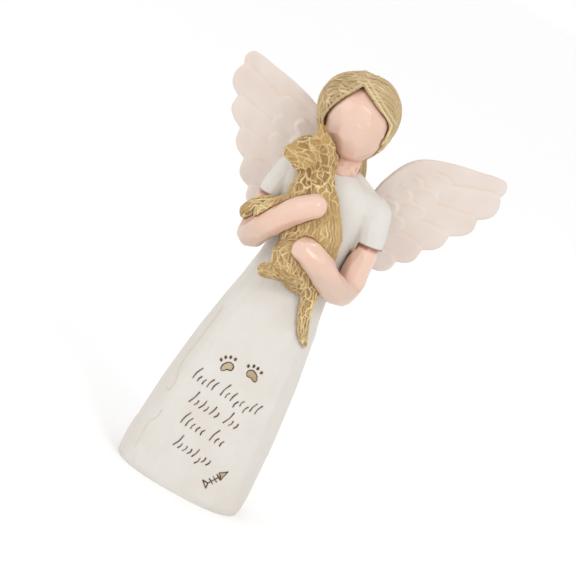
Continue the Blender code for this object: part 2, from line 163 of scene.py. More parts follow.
def drawn_curve(name, places, settings, radii=(), closed=False, corners=()):
    """Draw a smooth curve through places, sharp at the numbered corners, and give its mesh."""
    curve = bpy.data.curves.new(name, "CURVE")
    for setting, value in settings.items():
        setattr(curve, setting, value)
    spline = curve.splines.new("BEZIER")
    spline.use_cyclic_u = closed
    spline.bezier_points.add(len(places) - 1)
    for number, (point, place) in enumerate(zip(spline.bezier_points, places)):
        point.co = place
        point.handle_left_type = point.handle_right_type = "VECTOR" if number in corners else "AUTO"
    for point, radius in zip(spline.bezier_points, radii):
        point.radius = radius
    guide = put_in_scene(name, curve)
    mesh = mesh_of(guide)
    bpy.data.objects.remove(guide, do_unlink=True)
    return mesh


# %% Balls and limbs


def add_ball(clay, middle, half_sizes, lean=0.0, turns=48):
    """Add an ellipsoid, leaning to the left by some degrees."""
    turn = Matrix.Rotation(math.radians(-lean), 4, "Y")
    ball = bmesh.new()
    bmesh.ops.create_uvsphere(ball, u_segments=turns, v_segments=turns * 2 // 3, radius=1)
    bmesh.ops.transform(ball, matrix=Matrix.Translation(middle) @ turn @ Matrix.Diagonal((*half_sizes, 1)),
                        verts=ball.verts)
    pour(clay, harden("ball", ball))


def add_limb(clay, stations, flatness=1.0, sides=5):
    """Add a limb through (x, y, z, radius) stations with round ends, its depth cut to a share."""
    first = len(clay.verts)
    pour(clay, drawn_curve("limb", [station[:3] for station in stations],
                           {"dimensions": "3D", "bevel_depth": 1, "bevel_resolution": sides,
                            "use_fill_caps": True}, [station[3] for station in stations]))
    for x, y, z, radius in (stations[0], stations[-1]):
        add_ball(clay, (x, y, z), (radius, radius, radius), turns=sides * 9)
    if flatness < 1:
        clay.verts.ensure_lookup_table()
        middle = sum(station[1] for station in stations) / len(stations)
        for vert in clay.verts[first:]:
            vert.co.y = middle + (vert.co.y - middle) * flatness


# %% Lofts and fusing
LOFT_POINTS = 96


def section_ring(half_width, front, back, squareness, middle_x, height):
    """Give the points of one closed section: a soft rectangle with its own front and back depth."""
    ring = []
    for step in range(LOFT_POINTS):
        angle = 2 * math.pi * step / LOFT_POINTS
        across, along = math.cos(angle), math.sin(angle)
        depth = back if along > 0 else front
        ring.append((middle_x + half_width * math.copysign(abs(across) ** (2 / squareness), across),
                     depth * math.copysign(abs(along) ** (2 / squareness), along), height))
    return ring


def add_loft(clay, rings):
    """Skin a stack of rings and close both ends."""
    rows = [[clay.verts.new(point) for point in ring] for ring in rings]
    for lower, upper in zip(rows, rows[1:]):
        for step in range(LOFT_POINTS):
            after = (step + 1) % LOFT_POINTS
            clay.faces.new((lower[step], lower[after], upper[after], upper[step]))
    clay.faces.new(list(reversed(rows[0])))
    clay.faces.new(rows[-1])


def fuse(name, clay, voxel, rounds):
    """Turn clay into an object of one fused skin, in the statue's units."""
    mesh = harden(name, clay)
    thing = put_in_scene(name, mesh)
    skin = thing.modifiers.new("fuse", "REMESH")
    skin.mode = "VOXEL"
    skin.voxel_size = voxel
    if rounds:
        rub = thing.modifiers.new("soften", "SMOOTH")
        rub.factor = 0.5
        rub.iterations = rounds
    fused = mesh_of(thing)
    thing.modifiers.clear()
    thing.data = fused
    bpy.data.meshes.remove(mesh)
    print(name, len(fused.vertices), "points at a voxel of", voxel)
    return thing


# %% [markdown]
# Carving is done on arrays of points, because numpy moves fifty thousand of them at once. Three
# small tools do all of it. One reads points, directions and edges from a mesh. One softens any
# value over the surface by averaging it with its neighbours. The last one measures how hollow the
# surface is, which later tells the brown wash and the painted shade where to stay.

# %% Reading and writing points


def rows_of(items, name, width, kind=float):
    """Read one value of each item of a mesh, as a row of numbers."""
    flat = np.empty(len(items) * width, dtype=kind)
    items.foreach_get(name, flat)
    return flat.reshape(-1, width)


def read_points(mesh):
    """Give the points of a mesh as rows."""
    return rows_of(mesh.vertices, "co", 3)


def write_points(mesh, points):
    """Put the points back."""
    mesh.vertices.foreach_set("co", points.ravel())
    mesh.update()


def read_normals(mesh):
    """Give the direction that each point faces."""
    return rows_of(mesh.vertex_normals, "vector", 3)


def read_edges(mesh):
    """Give the two ends of each edge."""
    return rows_of(mesh.edges, "vertices", 2, np.int32)


# %% Softening, hollows and random waves
WAVES = 12


def soften(values, edges, rounds, share=0.5):
    """Average values with those of their neighbours, some rounds over."""
    table = np.array(values, dtype=float).reshape(len(values), -1)
    count = len(table)
    neighbours = np.maximum(np.bincount(edges.ravel(), minlength=count), 1)
    for _ in range(rounds):
        for column in range(table.shape[1]):
            line = table[:, column]
            total = np.bincount(edges[:, 0], weights=line[edges[:, 1]], minlength=count)
            total += np.bincount(edges[:, 1], weights=line[edges[:, 0]], minlength=count)
            table[:, column] = line * (1 - share) + total / neighbours * share
    return table.reshape(np.shape(values))


def hollowness(mesh, rounds):
    """Say how far each point lies below its softened surroundings, in units."""
    points = read_points(mesh)
    return np.einsum("ij,ij->i", soften(points, read_edges(mesh), rounds) - points, read_normals(mesh))


def ramp(values, low, high):
    """Rise smoothly from 0 at low to 1 at high."""
    share = np.clip((values - low) / (high - low), 0, 1)
    return share * share * (3 - 2 * share)


def wobble(points, size, seed):
    """Give each point a smooth random value, mostly within -1 to 1, that changes over a size."""
    draw = np.random.default_rng(seed)
    ways = draw.normal(size=(WAVES, 3)) * 2.6 / size
    return np.sin(points @ ways.T + draw.uniform(0, 2 * math.pi, WAVES)).sum(axis=1) * (1.4 / WAVES ** 0.5)


def note(thing, name, values):
    """Keep one value a point on the mesh, for the paint to read."""
    layer = thing.data.attributes.new(name, "FLOAT", "POINT")
    layer.data.foreach_set("value", np.clip(values, 0, 1).astype(np.float32))


# %% [markdown]
# The carver's tools leave two kinds of mark. A chisel takes flat facets off the gown, the arms and
# the face. A small gouge leaves long hollows with thin ridges between them on the fur and the hair.
# Both are a scatter of cells over the surface, long in the direction of the grain. A texture could
# do it too, but a texture doesn't know which way the fur lies; here each cell has its own direction.

# %% Lines and grain
BLOCK = 4000


def line_through(stations, steps=8):
    """Sample a smooth line through (x, y, z, radius) stations: places, directions and radii."""
    rows = np.array(stations, dtype=float)
    padded = np.vstack((rows[0], rows, rows[-1]))
    places = []
    for start in range(len(rows) - 1):
        before, here, there, after = padded[start:start + 4]
        for share in np.arange(steps) / steps:
            places.append(0.5 * (2 * here + (there - before) * share
                                 + (2 * before - 5 * here + 4 * there - after) * share ** 2
                                 + (3 * here - before - 3 * there + after) * share ** 3))
    places = np.array(places + [rows[-1]])
    ways = np.gradient(places[:, :3], axis=0)
    return places[:, :3], ways / np.linalg.norm(ways, axis=1)[:, None], places[:, 3]


def grain_along(points, lines):
    """Find the line nearest to each point for its thickness: give its direction and the way round it."""
    places, ways, radii = (np.concatenate([line[part] for line in lines]) for part in range(3))
    typical = np.concatenate([np.full(len(line[2]), line[2].mean()) for line in lines])
    across = np.cross(ways, (0, 1, 0))
    across /= np.linalg.norm(across, axis=1)[:, None]
    grain, around = np.empty_like(points), np.empty(len(points))
    for start in range(0, len(points), BLOCK):
        apart = points[start:start + BLOCK, None, :] - places[None]
        nearest = np.argmin(np.linalg.norm(apart, axis=2) / radii, axis=1)
        out = points[start:start + BLOCK] - places[nearest]
        angle = np.arctan2((out * across[nearest]).sum(axis=1), -out[:, 1])
        grain[start:start + BLOCK] = ways[nearest]
        around[start:start + BLOCK] = angle * typical[nearest]
    return grain, around


# %% Gouge marks


def gouge_marks(points, grain, width, stretch, seed):
    """Scatter long cells: give each point its distance to the ridge, its cell, and the cells' seeds.

    The ridge lies where a point is as near to one cell's middle as to the next, and dividing by the
    slope turns the difference into a true distance, so ridges are as thin across the grain as along it.
    """
    draw = np.random.default_rng(seed)
    squeeze = 1 - 1 / np.broadcast_to(stretch, len(points)) ** 2
    spacing = (np.broadcast_to(width, len(points)) * 0.85) ** 2
    middles = np.empty((len(points), 3))
    ways = np.empty((len(points), 3))
    seeds = []
    for spot in draw.permutation(len(points))[:len(points) // 3]:
        count = len(seeds)
        apart = middles[:count] - points[spot]
        along = np.einsum("ij,ij->i", apart, ways[:count])
        reach = np.einsum("ij,ij->i", apart, apart) - squeeze[spot] * along ** 2
        if count and reach.min() < spacing[spot]:
            continue
        middles[count] = points[spot]
        ways[count] = grain[spot]
        seeds.append(spot)
    middles, ways = points[seeds], grain[seeds]
    edge = np.empty(len(points))
    cell = np.empty(len(points), dtype=np.int32)
    for start in range(0, len(points), BLOCK):
        block = points[start:start + BLOCK]
        straight = ((block ** 2).sum(axis=1)[:, None] + (middles ** 2).sum(axis=1) - 2 * block @ middles.T)
        along = block @ ways.T - (middles * ways).sum(axis=1)
        reach = np.maximum(straight - squeeze[seeds] * along ** 2, 0)
        two = np.argpartition(reach, 1, axis=1)[:, :2]
        row = np.arange(len(block))
        slopes = []
        for near_cell in two.T:
            pull = (squeeze[seeds][near_cell] * along[row, near_cell])[:, None]
            slopes.append(block - middles[near_cell] - pull * ways[near_cell])
        slope = 2 * np.linalg.norm(slopes[0] - slopes[1], axis=1)
        gap = np.abs(reach[row, two[:, 1]] - reach[row, two[:, 0]])
        edge[start:start + BLOCK] = gap / np.maximum(slope, 0.1)
        cell[start:start + BLOCK] = np.argmin(reach, axis=1)
    return edge, cell, np.array(seeds)


# %% Chisel cuts


def chisel(thing, grain, width, stretch, share, seed, weight=1.0, rounds=2):
    """Flatten each cell towards its own plane, as a chisel cut does, and keep the volume."""
    mesh = thing.data
    points, normals = read_points(mesh), read_normals(mesh)
    _, cell, seeds = gouge_marks(points, grain, width, stretch, seed)
    faced = normals[seeds][cell]
    lift = np.clip(np.einsum("ij,ij->i", points[seeds][cell] - points, faced), -1.5, 1.5)
    lift -= (np.bincount(cell, weights=lift) / np.bincount(cell))[cell]
    cut = points + faced * (lift * share * weight)[:, None]
    write_points(mesh, cut + (soften(cut, read_edges(mesh), rounds) - cut) * np.reshape(weight, (-1, 1)))
    print(thing.name, "has", len(seeds), "chisel cuts")


# %% [markdown]
# The skirt is a lathe-like form with an engraved front, so it is better as a regular net of points
# than as clay: the net can be fine where the small marks are cut and coarse elsewhere. A column of
# the net keeps its share of the half width from hem to waist, so the net narrows with the gown.

# %% The skirt's net of points
FINE_SHARE, OUTER_COLUMNS, FINE_COLUMNS, BACK_COLUMNS = 0.75, 22, 168, 100
FINE_LOW, FINE_HIGH, FINE_STEP = 9.0, 69.0, 0.29
SKIRT_TOP, TOP_ROWS = 110.5, 44
HEM_HEIGHTS = (0, 0.12, 0.3, 0.6, 1, 1.5, 2, 2.6, 3.3, 4.2, 5.2, 6.4, 7.7)
FRONT_SQUARENESS, BACK_SQUARENESS = 2.65, 2.5


def net_columns():
    """Give each column's share of the half width and whether it is at the front or the back."""
    corner = math.acos(FINE_SHARE ** (FRONT_SQUARENESS / 2))
    outer = np.cos(np.linspace(0, corner, OUTER_COLUMNS, endpoint=False)) ** (2 / FRONT_SQUARENESS)
    fine = np.linspace(FINE_SHARE, -FINE_SHARE, FINE_COLUMNS)
    back_turns = np.cos(np.linspace(math.pi, 0, BACK_COLUMNS))[1:-1]
    back = np.copysign(np.abs(back_turns) ** (2 / BACK_SQUARENESS), back_turns)
    shares = np.concatenate((outer, fine, -outer[::-1], back))
    return shares, np.where(np.arange(len(shares)) < len(outer) * 2 + len(fine), -1.0, 1.0)


def net_heights():
    """Give the rows' heights: close at the hem's round edge and where the marks are."""
    fine = np.arange(FINE_LOW, FINE_HIGH, FINE_STEP)
    return np.concatenate((HEM_HEIGHTS, fine, np.linspace(FINE_HIGH, SKIRT_TOP, TOP_ROWS)))


def make_skirt():
    """Build the closed net, with a point in the middle of the underside and of the top."""
    shares, sides = net_columns()
    rows = []
    for height in net_heights():
        half_width, front, back, squareness = gown_section(height)
        depth = np.where(sides < 0, front, back)
        deep = np.maximum(1 - np.abs(shares) ** squareness, 0) ** (1 / squareness)
        rows.append(np.column_stack((shares * half_width, sides * depth * deep,
                                     np.full(len(shares), height))))
    points = np.vstack(rows + [[(0, 0, 0)], [(0, 0, SKIRT_TOP)]])
    across = len(shares)
    faces = []
    for row in range(len(rows) - 1):
        for column in range(across):
            here = row * across + column
            after = row * across + (column + 1) % across
            faces.append((here, here + across, after + across, after))
    last = (len(rows) - 1) * across
    for column in range(across):
        after = (column + 1) % across
        faces.append((len(points) - 2, column, after))
        faces.append((len(points) - 1, last + after, last + column))
    mesh = bpy.data.meshes.new("gown_skirt")
    mesh.from_pydata(points.tolist(), [], faces)
    rework(mesh, lambda net: bmesh.ops.recalc_face_normals(net, faces=net.faces))
    print("gown_skirt", len(points), "points in", len(rows), "rows of", across)
    return put_in_scene("gown_skirt", mesh)


skirt = make_skirt()

# %% [markdown]
# The gown was whittled with long upright cuts, which show as soft planes down its sides. A few
# lines are cut deeper: a wavy crease at the left, and the edge of a plane at the right. They are
# kept away from the hem's flat underside and from the top, where the bodice takes over.

# %% Chisel the skirt and cut its creases
CREASES = (
    ((-19.9, 79.5), (-20.8, 70.7), (-22.1, 61.8), (-23.5, 52.9), (-23.5, 47.6), (-21.8, 40.9),
     (-22.7, 37.3), (-24.0, 36.9)),
    ((-21.0, 28.4), (-21.4, 24.8), (-23.2, 21.6), (-23.6, 17.1), (-23.6, 12.6), (-24.1, 8.1)),
)
PLANE_EDGE = ((22.6, 74.0), (24.6, 60.0), (25.0, 40.0), (25.6, 22.0), (25.4, 8.0))
CREASE_HALF, CREASE_DEPTH = 0.34, 0.30
EDGE_HALF, EDGE_DEPTH = 1.5, 0.34
# The side planes' places at the hem, how steep they are, and the height where their lines would meet
SIDE_PLANES, SIDE_SLOPE, SIDES_MEET = (-25.5, 26.5), 0.12, 230
UPRIGHT = np.array((0.0, 0.0, 1.0))


def distance_to_line(places, line):
    """Give each (x, z) place its distance to a line of straight runs."""
    nearest = np.full(len(places), 1e9)
    for start, end in zip(np.array(line)[:-1], np.array(line)[1:]):
        run = end - start
        share = np.clip((places - start) @ run / max(run @ run, 1e-9), 0, 1)
        nearest = np.minimum(nearest, np.linalg.norm(places - start - share[:, None] * run, axis=1))
    return nearest


def line_mark(places, line, half):
    """Give 1 on a line and less beside it, over its half width."""
    return np.exp(-(distance_to_line(places, line) / half) ** 2)


def cut_skirt():
    """Chisel the planes, press the creases in, and shave a plane down each side of the front."""
    points = read_points(skirt.data)
    weight = np.where(points[:, 2] > 100, ramp(-points[:, 2], -108, -100), ramp(points[:, 2], 0.5, 6))
    chisel(skirt, np.tile(UPRIGHT, (len(points), 1)), width=8.5, stretch=3.2, share=0.75, seed=11,
           weight=weight, rounds=3)
    points, normals = read_points(skirt.data), read_normals(skirt.data)
    front = points[:, 1] < 0
    flat = points[:, [0, 2]]
    crease = np.zeros(len(points))
    for line in CREASES:
        crease = np.maximum(crease, line_mark(flat, line, CREASE_HALF) * front)
    plane = line_mark(flat, PLANE_EDGE, EDGE_HALF) * front
    points -= normals * (CREASE_DEPTH * crease + EDGE_DEPTH * plane)[:, None]
    sides = np.zeros(len(points))
    for edge in SIDE_PLANES:
        tapered = edge * (1 - points[:, 2] / SIDES_MEET)
        beyond = np.maximum((points[:, 0] - tapered) * math.copysign(1, edge), 0) * front
        points[:, 1] += SIDE_SLOPE * beyond * ramp(points[:, 2], 3, 9) * (1 - ramp(points[:, 2], 92, 100))
        sides = np.maximum(sides, ramp(beyond, 0, 1.0))
    write_points(skirt.data, points)
    return crease, sides


crease, sides = cut_skirt()

# %% [markdown]
# The front of the real gown carries painted engraving. Here it is rows of short bowed strokes that
# aren't writing, with two paw prints above them and a small fishbone below. Each stroke is a
# shallow groove in the skirt with a thin thread of brown paint lying in it, so that the line stays
# crisp at any distance while the light still catches the lip of the cut.

# %% Lay out the strokes, paw prints and fishbone
# Rows of strokes: left end, right end, lower left, lower right, and how many strokes in each group
STROKE_ROWS = (
    (-17.0, 16.4, 47.9, 47.4, (5, 8)),
    (-13.4, 11.6, 38.4, 37.6, (6, 3)),
    (-12.2, 10.0, 28.8, 28.0, (5, 3)),
    (-10.2, 8.8, 18.7, 17.9, (8,)),
)
SLANT = 0.34
# Pads and toes: middle and how far each pad leans; a toe is a place from the pad's middle and a lean
PAW_PADS = (((-5.3, 59.8), 30.0, 1), ((5.9, 61.7), -10.0, -1))
PAW_PAD_OUTLINE = ((-2.9, -0.6), (-2.0, 0.7), (-0.6, 1.5), (1.0, 1.7), (2.3, 0.8), (2.5, -0.6), (1.4, -1.7),
                   (-0.2, -1.3), (-1.7, -1.7), (-2.7, -1.6), (-2.9, -0.6))
PAW_TOES = (((-3.8, 1.1, 35), (-2.6, 3.0, 20), (-0.7, 4.1, 5), (1.5, 4.3, -5)),
            ((-3.4, 2.6, 20), (-1.3, 3.7, 5), (0.7, 3.6, -10), (2.9, 2.7, -30)))
FISH_TAIL = (((9.5, 11.4), (12.0, 11.2)), ((12.0, 11.2), (12.2, 8.9)), ((12.2, 8.9), (11.1, 9.8)),
             ((11.1, 9.8), (9.5, 11.4)))
FISH_SPINE = ((12.0, 11.2), (15.3, 16.3))
FISH_RIBS = (((11.7, 13.2), (13.9, 11.8)), ((12.7, 14.8), (15.0, 13.3)), ((13.7, 16.4), (16.0, 14.8)))
FISH_HEAD = (((14.2, 17.5), (17.2, 19.4)), ((17.2, 19.4), (16.2, 15.2)), ((16.2, 15.2), (14.2, 17.5)))
GROOVE_HALF, GROOVE_DEPTH, FILL_DEPTH = 0.40, 0.24, 0.16
MARKS_REACH, MARKS_LOW, MARKS_HIGH = 21, 7, 71
TOE_PRINT, TOE_DROP = 0.45, (0.50, 0.40, 0.80)
THREAD_RADIUS, THREAD_SINK, THREAD_SWELL = 0.23, 0.18, 0.32
TALL, MIDDLING, SHORT, DROP, GROUP_GAP = 5.8, 4.2, 2.5, -1.9, 0.8


def turned(places, middle, degrees, mirror=1):
    """Turn a small motif, mirror it if asked, and set it in its place."""
    angle = math.radians(degrees)
    spots = []
    for x, z in places:
        x *= mirror
        spots.append((middle[0] + x * math.cos(angle) - z * math.sin(angle),
                      middle[1] + x * math.sin(angle) + z * math.cos(angle)))
    return spots


def stroke_lines():
    """Draw each row's bowed strokes: one tall at the start of a group, the others short."""
    draw = np.random.default_rng(5)
    lines = []
    for row, (left, right, low_left, low_right, groups) in enumerate(STROKE_ROWS):
        slots = sum(groups) + GROUP_GAP * (len(groups) - 1)
        pitch = (right - left) / slots
        spot = left + pitch * 0.4
        for count in groups:
            for number in range(count):
                tall = TALL if number == 0 else (MIDDLING if draw.random() < 0.25 else SHORT)
                drop = DROP if draw.random() < 0.12 and number else 0.0
                low = low_left + (low_right - low_left) * (spot - left) / (right - left) + drop
                bow = draw.uniform(0.5, 1.0) * (1 if row % 2 else -1)
                high = low + tall - drop * 0.3
                middle = (low + high) / 2
                lines.append([(spot, low), (spot + SLANT * (middle - low) + bow * 0.5, middle),
                              (spot + SLANT * (high - low) + bow * 0.1, high)])
                spot += pitch
            spot += pitch * GROUP_GAP
    return lines


STROKES = stroke_lines()
PADS = [turned(PAW_PAD_OUTLINE, *pad) for pad in PAW_PADS]
TOES = []
for ((x, z), _, _), toes in zip(PAW_PADS, PAW_TOES):
    TOES += [((x + across, z + up), lean) for across, up, lean in toes]
FISH_LINES = [*FISH_TAIL, FISH_SPINE, *FISH_RIBS, *FISH_HEAD]
print(len(STROKES), "strokes,", len(TOES), "toes,", len(FISH_LINES), "lines in the fishbone")

# %% Engrave them and mark the tan fills


def inside(places, outline):
    """Say which places lie inside a closed outline, by counting crossings."""
    within = np.zeros(len(places), dtype=bool)
    for (x1, z1), (x2, z2) in zip(outline, outline[1:]):
        spans = (z1 > places[:, 1]) != (z2 > places[:, 1])
        rise = z2 - z1 if z2 != z1 else 1e-9
        within ^= spans & (places[:, 0] < (x2 - x1) * (places[:, 1] - z1) / rise + x1)
    return within


def engrave():
    """Press the grooves and the pads' fills into the skirt's front."""
    points, normals = read_points(skirt.data), read_normals(skirt.data)
    marked = (points[:, 1] < 0) & (points[:, 2] > MARKS_LOW) & (points[:, 2] < MARKS_HIGH)
    spots = np.nonzero(marked & (np.abs(points[:, 0]) < MARKS_REACH))[0]
    flat = points[spots][:, [0, 2]]
    nearest = np.full(len(spots), 1e9)
    for line in STROKES + PADS + FISH_LINES:
        nearest = np.minimum(nearest, distance_to_line(flat, line))
    fill = np.zeros(len(spots))
    for outline in PADS + [[*[side[0] for side in FISH_HEAD], FISH_HEAD[0][0]]]:
        fill = np.maximum(fill, inside(flat, outline))
    for (x, z), _ in TOES:
        from_toe = np.hypot(flat[:, 0] - x, flat[:, 1] - z) - TOE_PRINT
        nearest = np.minimum(nearest, np.maximum(from_toe, 0))
    depth = GROOVE_DEPTH * (1 - ramp(nearest, GROOVE_HALF * 0.3, GROOVE_HALF * 1.5))
    moved = points.copy()
    moved[spots] -= normals[spots] * np.maximum(depth, fill * FILL_DEPTH)[:, None]
    write_points(skirt.data, moved)
    wide = np.zeros((2, len(points)))
    wide[0, spots] = fill
    wide[1, spots] = 1 - ramp(nearest, 0.3, 0.7)
    return wide


fill, smudge = engrave()
print("filled points", int(fill.sum()))

# %% [markdown]
# The paint in the grooves is a piece of its own: thin threads and flattened drops. Each point of a
# thread asks the finished skirt where its surface is, by a ray cast from the front, and lies a
# little below it.

# %% The painted threads


def tree_of(thing):
    """Make a search tree of an object's faces."""
    places = [vert.co for vert in thing.data.vertices]
    return BVHTree.FromPolygons(places, [face.vertices for face in thing.data.polygons])


def make_threads():
    """Lay the threads and toe drops on a skirt without its grooves, then sink them to the real one."""
    clay = bmesh.new()
    for number, line in enumerate(STROKES + PADS + FISH_LINES):
        stations = []
        for x, z in line:
            radius = THREAD_RADIUS * (0.9 + THREAD_SWELL * math.sin(number * 2.1 + z))
            stations.append((x, gown_front(x, z), z, radius))
        add_limb(clay, stations, sides=2)
    for (x, z), lean in TOES:
        add_ball(clay, (x, gown_front(x, z), z), TOE_DROP, lean, 24)
    threads = put_in_scene("brown_strokes", harden("brown_strokes", clay))
    tree = tree_of(skirt)
    points = read_points(threads.data)
    for spot, (x, _, z) in enumerate(points):
        lies = gown_front(x, z)
        hit = tree.ray_cast(Vector((x, -HEM_DEPTH, z)), Vector((0, 1, 0)))[0]
        points[spot, 1] += hit.y - GROOVE_DEPTH + THREAD_SINK - lies if hit else 0
    write_points(threads.data, points)
    print("brown_strokes", len(points), "points")
    return threads


threads = make_threads()

# %% [markdown]
# The bodice and the short sleeves are one lump of clay with the top of the gown, so that the
# shoulders flow. Its lower end repeats the skirt's own section and lies a hair's breadth inside it,
# so no seam shows. The sleeves are sliced and pressed flat at their hems, as the real ones are cut,
# and the cloth is pressed in round the neck, where the skin comes out of it.

# %% Sizes of the bodice and the sleeves
SEAM_LOW, WAIST_HEIGHT, SEAM_INSIDE = 103.0, 119.5, 0.9955
# Sleeve hems: where they start in x, the side, the height there, and the slope
SLEEVE_HEMS = ((17.7, 1, 132.9, 0.10), (-21.2, -1, 132.6, -0.06))
COLLAR = ((-13.0, 2.0, 155.0, 2.2), (-4.4, 3.4, 156.4, 2.4), (3.0, 0.6, 156.6, 2.2), (9.6, 0.5, 154.0, 2.4),
          (15.4, 0.5, 151.4, 2.4))
NECKLINE_MIDDLE, NECKLINE_HALF = (-6.0, -2.0, 163.5), (10.2, 12.0, 12.4)
SHOULDERS = ((-21.0, 0.5, 144.1, 9.0), (-10.0, 0.5, 146.3, 9.0), (6.0, 0.5, 146.3, 9.0),
             (16.8, 0.5, 144.9, 9.0))
RIGHT_SLEEVE = ((17.6, 0.0, 144.3, 8.6), (20.6, -2.0, 138.3, 7.3), (22.4, -3.6, 131.2, 6.3))
LEFT_SLEEVE = ((-21.8, 0.0, 143.7, 8.6), (-24.0, -2.0, 138.3, 7.2), (-25.2, -3.6, 130.9, 6.3))
LEFT_SIDE = ((-19.5, -3.0, 147.0, 6.5), (-18.5, -5.0, 141.0, 6.0), (-18.0, -5.5, 137.5, 5.0))


def bodice_rings(low, count, size=1.0):
    """Give the bodice's sections from a height up to the neck, at a share of their size."""
    rings = []
    for height in np.linspace(low, BODICE_ROWS[-1][0], count):
        width_share, depth_share, middle = smooth_between(BODICE_ROWS, height)
        half_depth = WAIST_DEPTH / 2 * depth_share * size
        rings.append(section_ring(WAIST_WIDTH / 2 * width_share * size, half_depth * FRONT_SHARE,
                                  half_depth * BACK_SHARE, BODICE_SQUARENESS, middle, height))
    return rings


def slice_hems(cloth):
    """Cut the sleeves' faces along the hem planes, so that the pressed hems have a clean edge."""
    for inner, side, low, slope in SLEEVE_HEMS:
        faces = [face for face in cloth.faces if face.calc_center_median().x * side > inner * side - 0.5]
        edges = {edge for face in faces for edge in face.edges}
        verts = {vert for face in faces for vert in face.verts}
        bmesh.ops.bisect_plane(cloth, geom=[*faces, *edges, *verts], plane_co=(inner, 0, low),
                               plane_no=(-slope * side, 0, 1))


def above_hem(points, inner, side, low, slope):
    """Give each point's height above a slanting hem, and whether it is on that sleeve."""
    above = points[:, 2] - low - slope * (np.abs(points[:, 0]) - abs(inner))
    return above, points[:, 0] * side > inner * side


def open_neckline(points):
    """Press the cloth out of a ball round the neck, so that the neckline is where the two meet."""
    from_middle = (points - NECKLINE_MIDDLE) / NECKLINE_HALF
    reach = np.maximum(np.linalg.norm(from_middle, axis=1), 0.1)[:, None]
    return np.where(reach < 1, NECKLINE_MIDDLE + from_middle / reach * NECKLINE_HALF, points)


# %% Build the bodice


def make_bodice():
    """Loft the bodice, fuse the shoulders to it, and fit its lower end inside the skirt."""
    clay = bmesh.new()
    rings = []
    for height in np.linspace(SEAM_LOW, WAIST_HEIGHT, 12)[:-1]:
        rings.append(section_ring(*gown_section(height), 0.0, height))
    add_loft(clay, rings + bodice_rings(WAIST_HEIGHT, 26))
    for stations in (SHOULDERS, RIGHT_SLEEVE, LEFT_SLEEVE, LEFT_SIDE, COLLAR):
        add_limb(clay, stations)
    bodice = fuse("gown_bodice", clay, voxel=0.45, rounds=6)
    rework(bodice.data, slice_hems)
    points = read_points(bodice.data)
    for spot in np.nonzero(points[:, 2] < 120)[0]:
        x, y, z = points[spot]
        half_width, front, back, squareness = gown_section(min(z, WAIST_HEIGHT - 0.1))
        depth = front if y < 0 else back
        size = (abs(x / half_width) ** squareness + abs(y / depth) ** squareness) ** (1 / squareness)
        hold = min(1, (120 - z) / 5) if size > 0.8 else 0
        wanted = SEAM_INSIDE if z < SKIRT_TOP + 0.3 else 1
        points[spot, :2] *= 1 + (1 / max(size, 0.1) * wanted - 1) * hold
    for hem in SLEEVE_HEMS:
        above, beside = above_hem(points, *hem)
        beyond = beside & (above < 0)
        points[beyond, 2] -= above[beyond]
    write_points(bodice.data, open_neckline(points))
    return bodice


bodice = make_bodice()

# %% [markdown]
# Skin comes next: a neck that widens into the gown, the blank head, and two arms with mitten hands.
# The carver left broad flat cuts on all of them, and glossy paint makes those cuts catch the light.

# %% Sizes of the neck, the head and the arms
HEAD_LEAN = 11.0
# The face's balls: middle and half sizes
FACE_BALLS = (
    ((-7.4, -2.2, 175.7), (13.3, 14.6, 15.4)), ((-9.6, -1.6, 179.9), (13.6, 14.4, 14.0)),
    ((-6.0, -3.4, 168.7), (9.0, 10.4, 8.0)), ((-6.5, -2.4, 178.5), (12.7, 12.5, 11.5)),
)
NECK = ((-4.6, -1.6, 149.5, 9.0), (-4.5, -1.0, 153.4, 8.6), (-4.4, 0.2, 157.3, 7.4), (-6.0, 0.0, 166.3, 7.4))
RIGHT_ARM = ((22.0, -3.0, 138.0, 4.0), (22.3, -3.9, 133.0, 5.3), (22.6, -5.3, 128.0, 5.7),
             (22.8, -6.9, 121.3, 5.9), (22.4, -10.5, 111.3, 6.0), (15.8, -18.5, 112.6, 6.2),
             (9.0, -24.0, 117.5, 6.3), (2.5, -27.0, 120.7, 6.1), (-0.6, -27.5, 121.5, 5.6))
LEFT_ARM = ((-24.6, -3.0, 138.0, 4.0), (-25.0, -3.9, 133.0, 5.1), (-25.2, -5.4, 128.0, 5.5),
            (-25.2, -7.4, 121.3, 5.7), (-24.9, -11.5, 113.9, 5.7), (-20.4, -18.0, 120.9, 5.7),
            (-15.8, -22.5, 128.7, 5.6), (-10.6, -25.6, 135.7, 5.8), (-6.2, -26.6, 139.7, 5.4))
NECK_HIDDEN, ARMS_HIDDEN = 140, 134
RUMPLE_HEIGHT, RUMPLE_SIZE, THROAT_X = 0.24, 2.8, -5.0


# %% Build the neck, the arms and the head


def make_limb(name, stations, seed, hidden_from, rings=(), width=4.6, share=0.65):
    """Make an arm or the neck, with flat cuts along it, up to the height where the cloth hides it."""
    clay = bmesh.new()
    add_limb(clay, stations)
    if rings:
        add_loft(clay, rings)
    limb = fuse(name, clay, voxel=0.45, rounds=3)
    points = read_points(limb.data)
    shown = ramp(np.abs(points[:, 2] - hidden_from), 1.0, 4.0) * (points[:, 2] < hidden_from)
    shown = np.maximum(shown, ramp(points[:, 2], 152, 156))
    chisel(limb, grain_along(points, [line_through(stations)])[0], width, 2.2, share, seed, shown)
    return limb


def rumple_neck():
    """Crease the skin of the throat a little, above the cloth and clear of the sides."""
    points = read_points(neck.data)
    folds = RUMPLE_HEIGHT * wobble(points, RUMPLE_SIZE, 9) * ramp(points[:, 2], 152.5, 155.5)
    folds *= ramp(-np.abs(points[:, 0] - THROAT_X), -8.0, -6.5)
    write_points(neck.data, points + read_normals(neck.data) * folds[:, None])


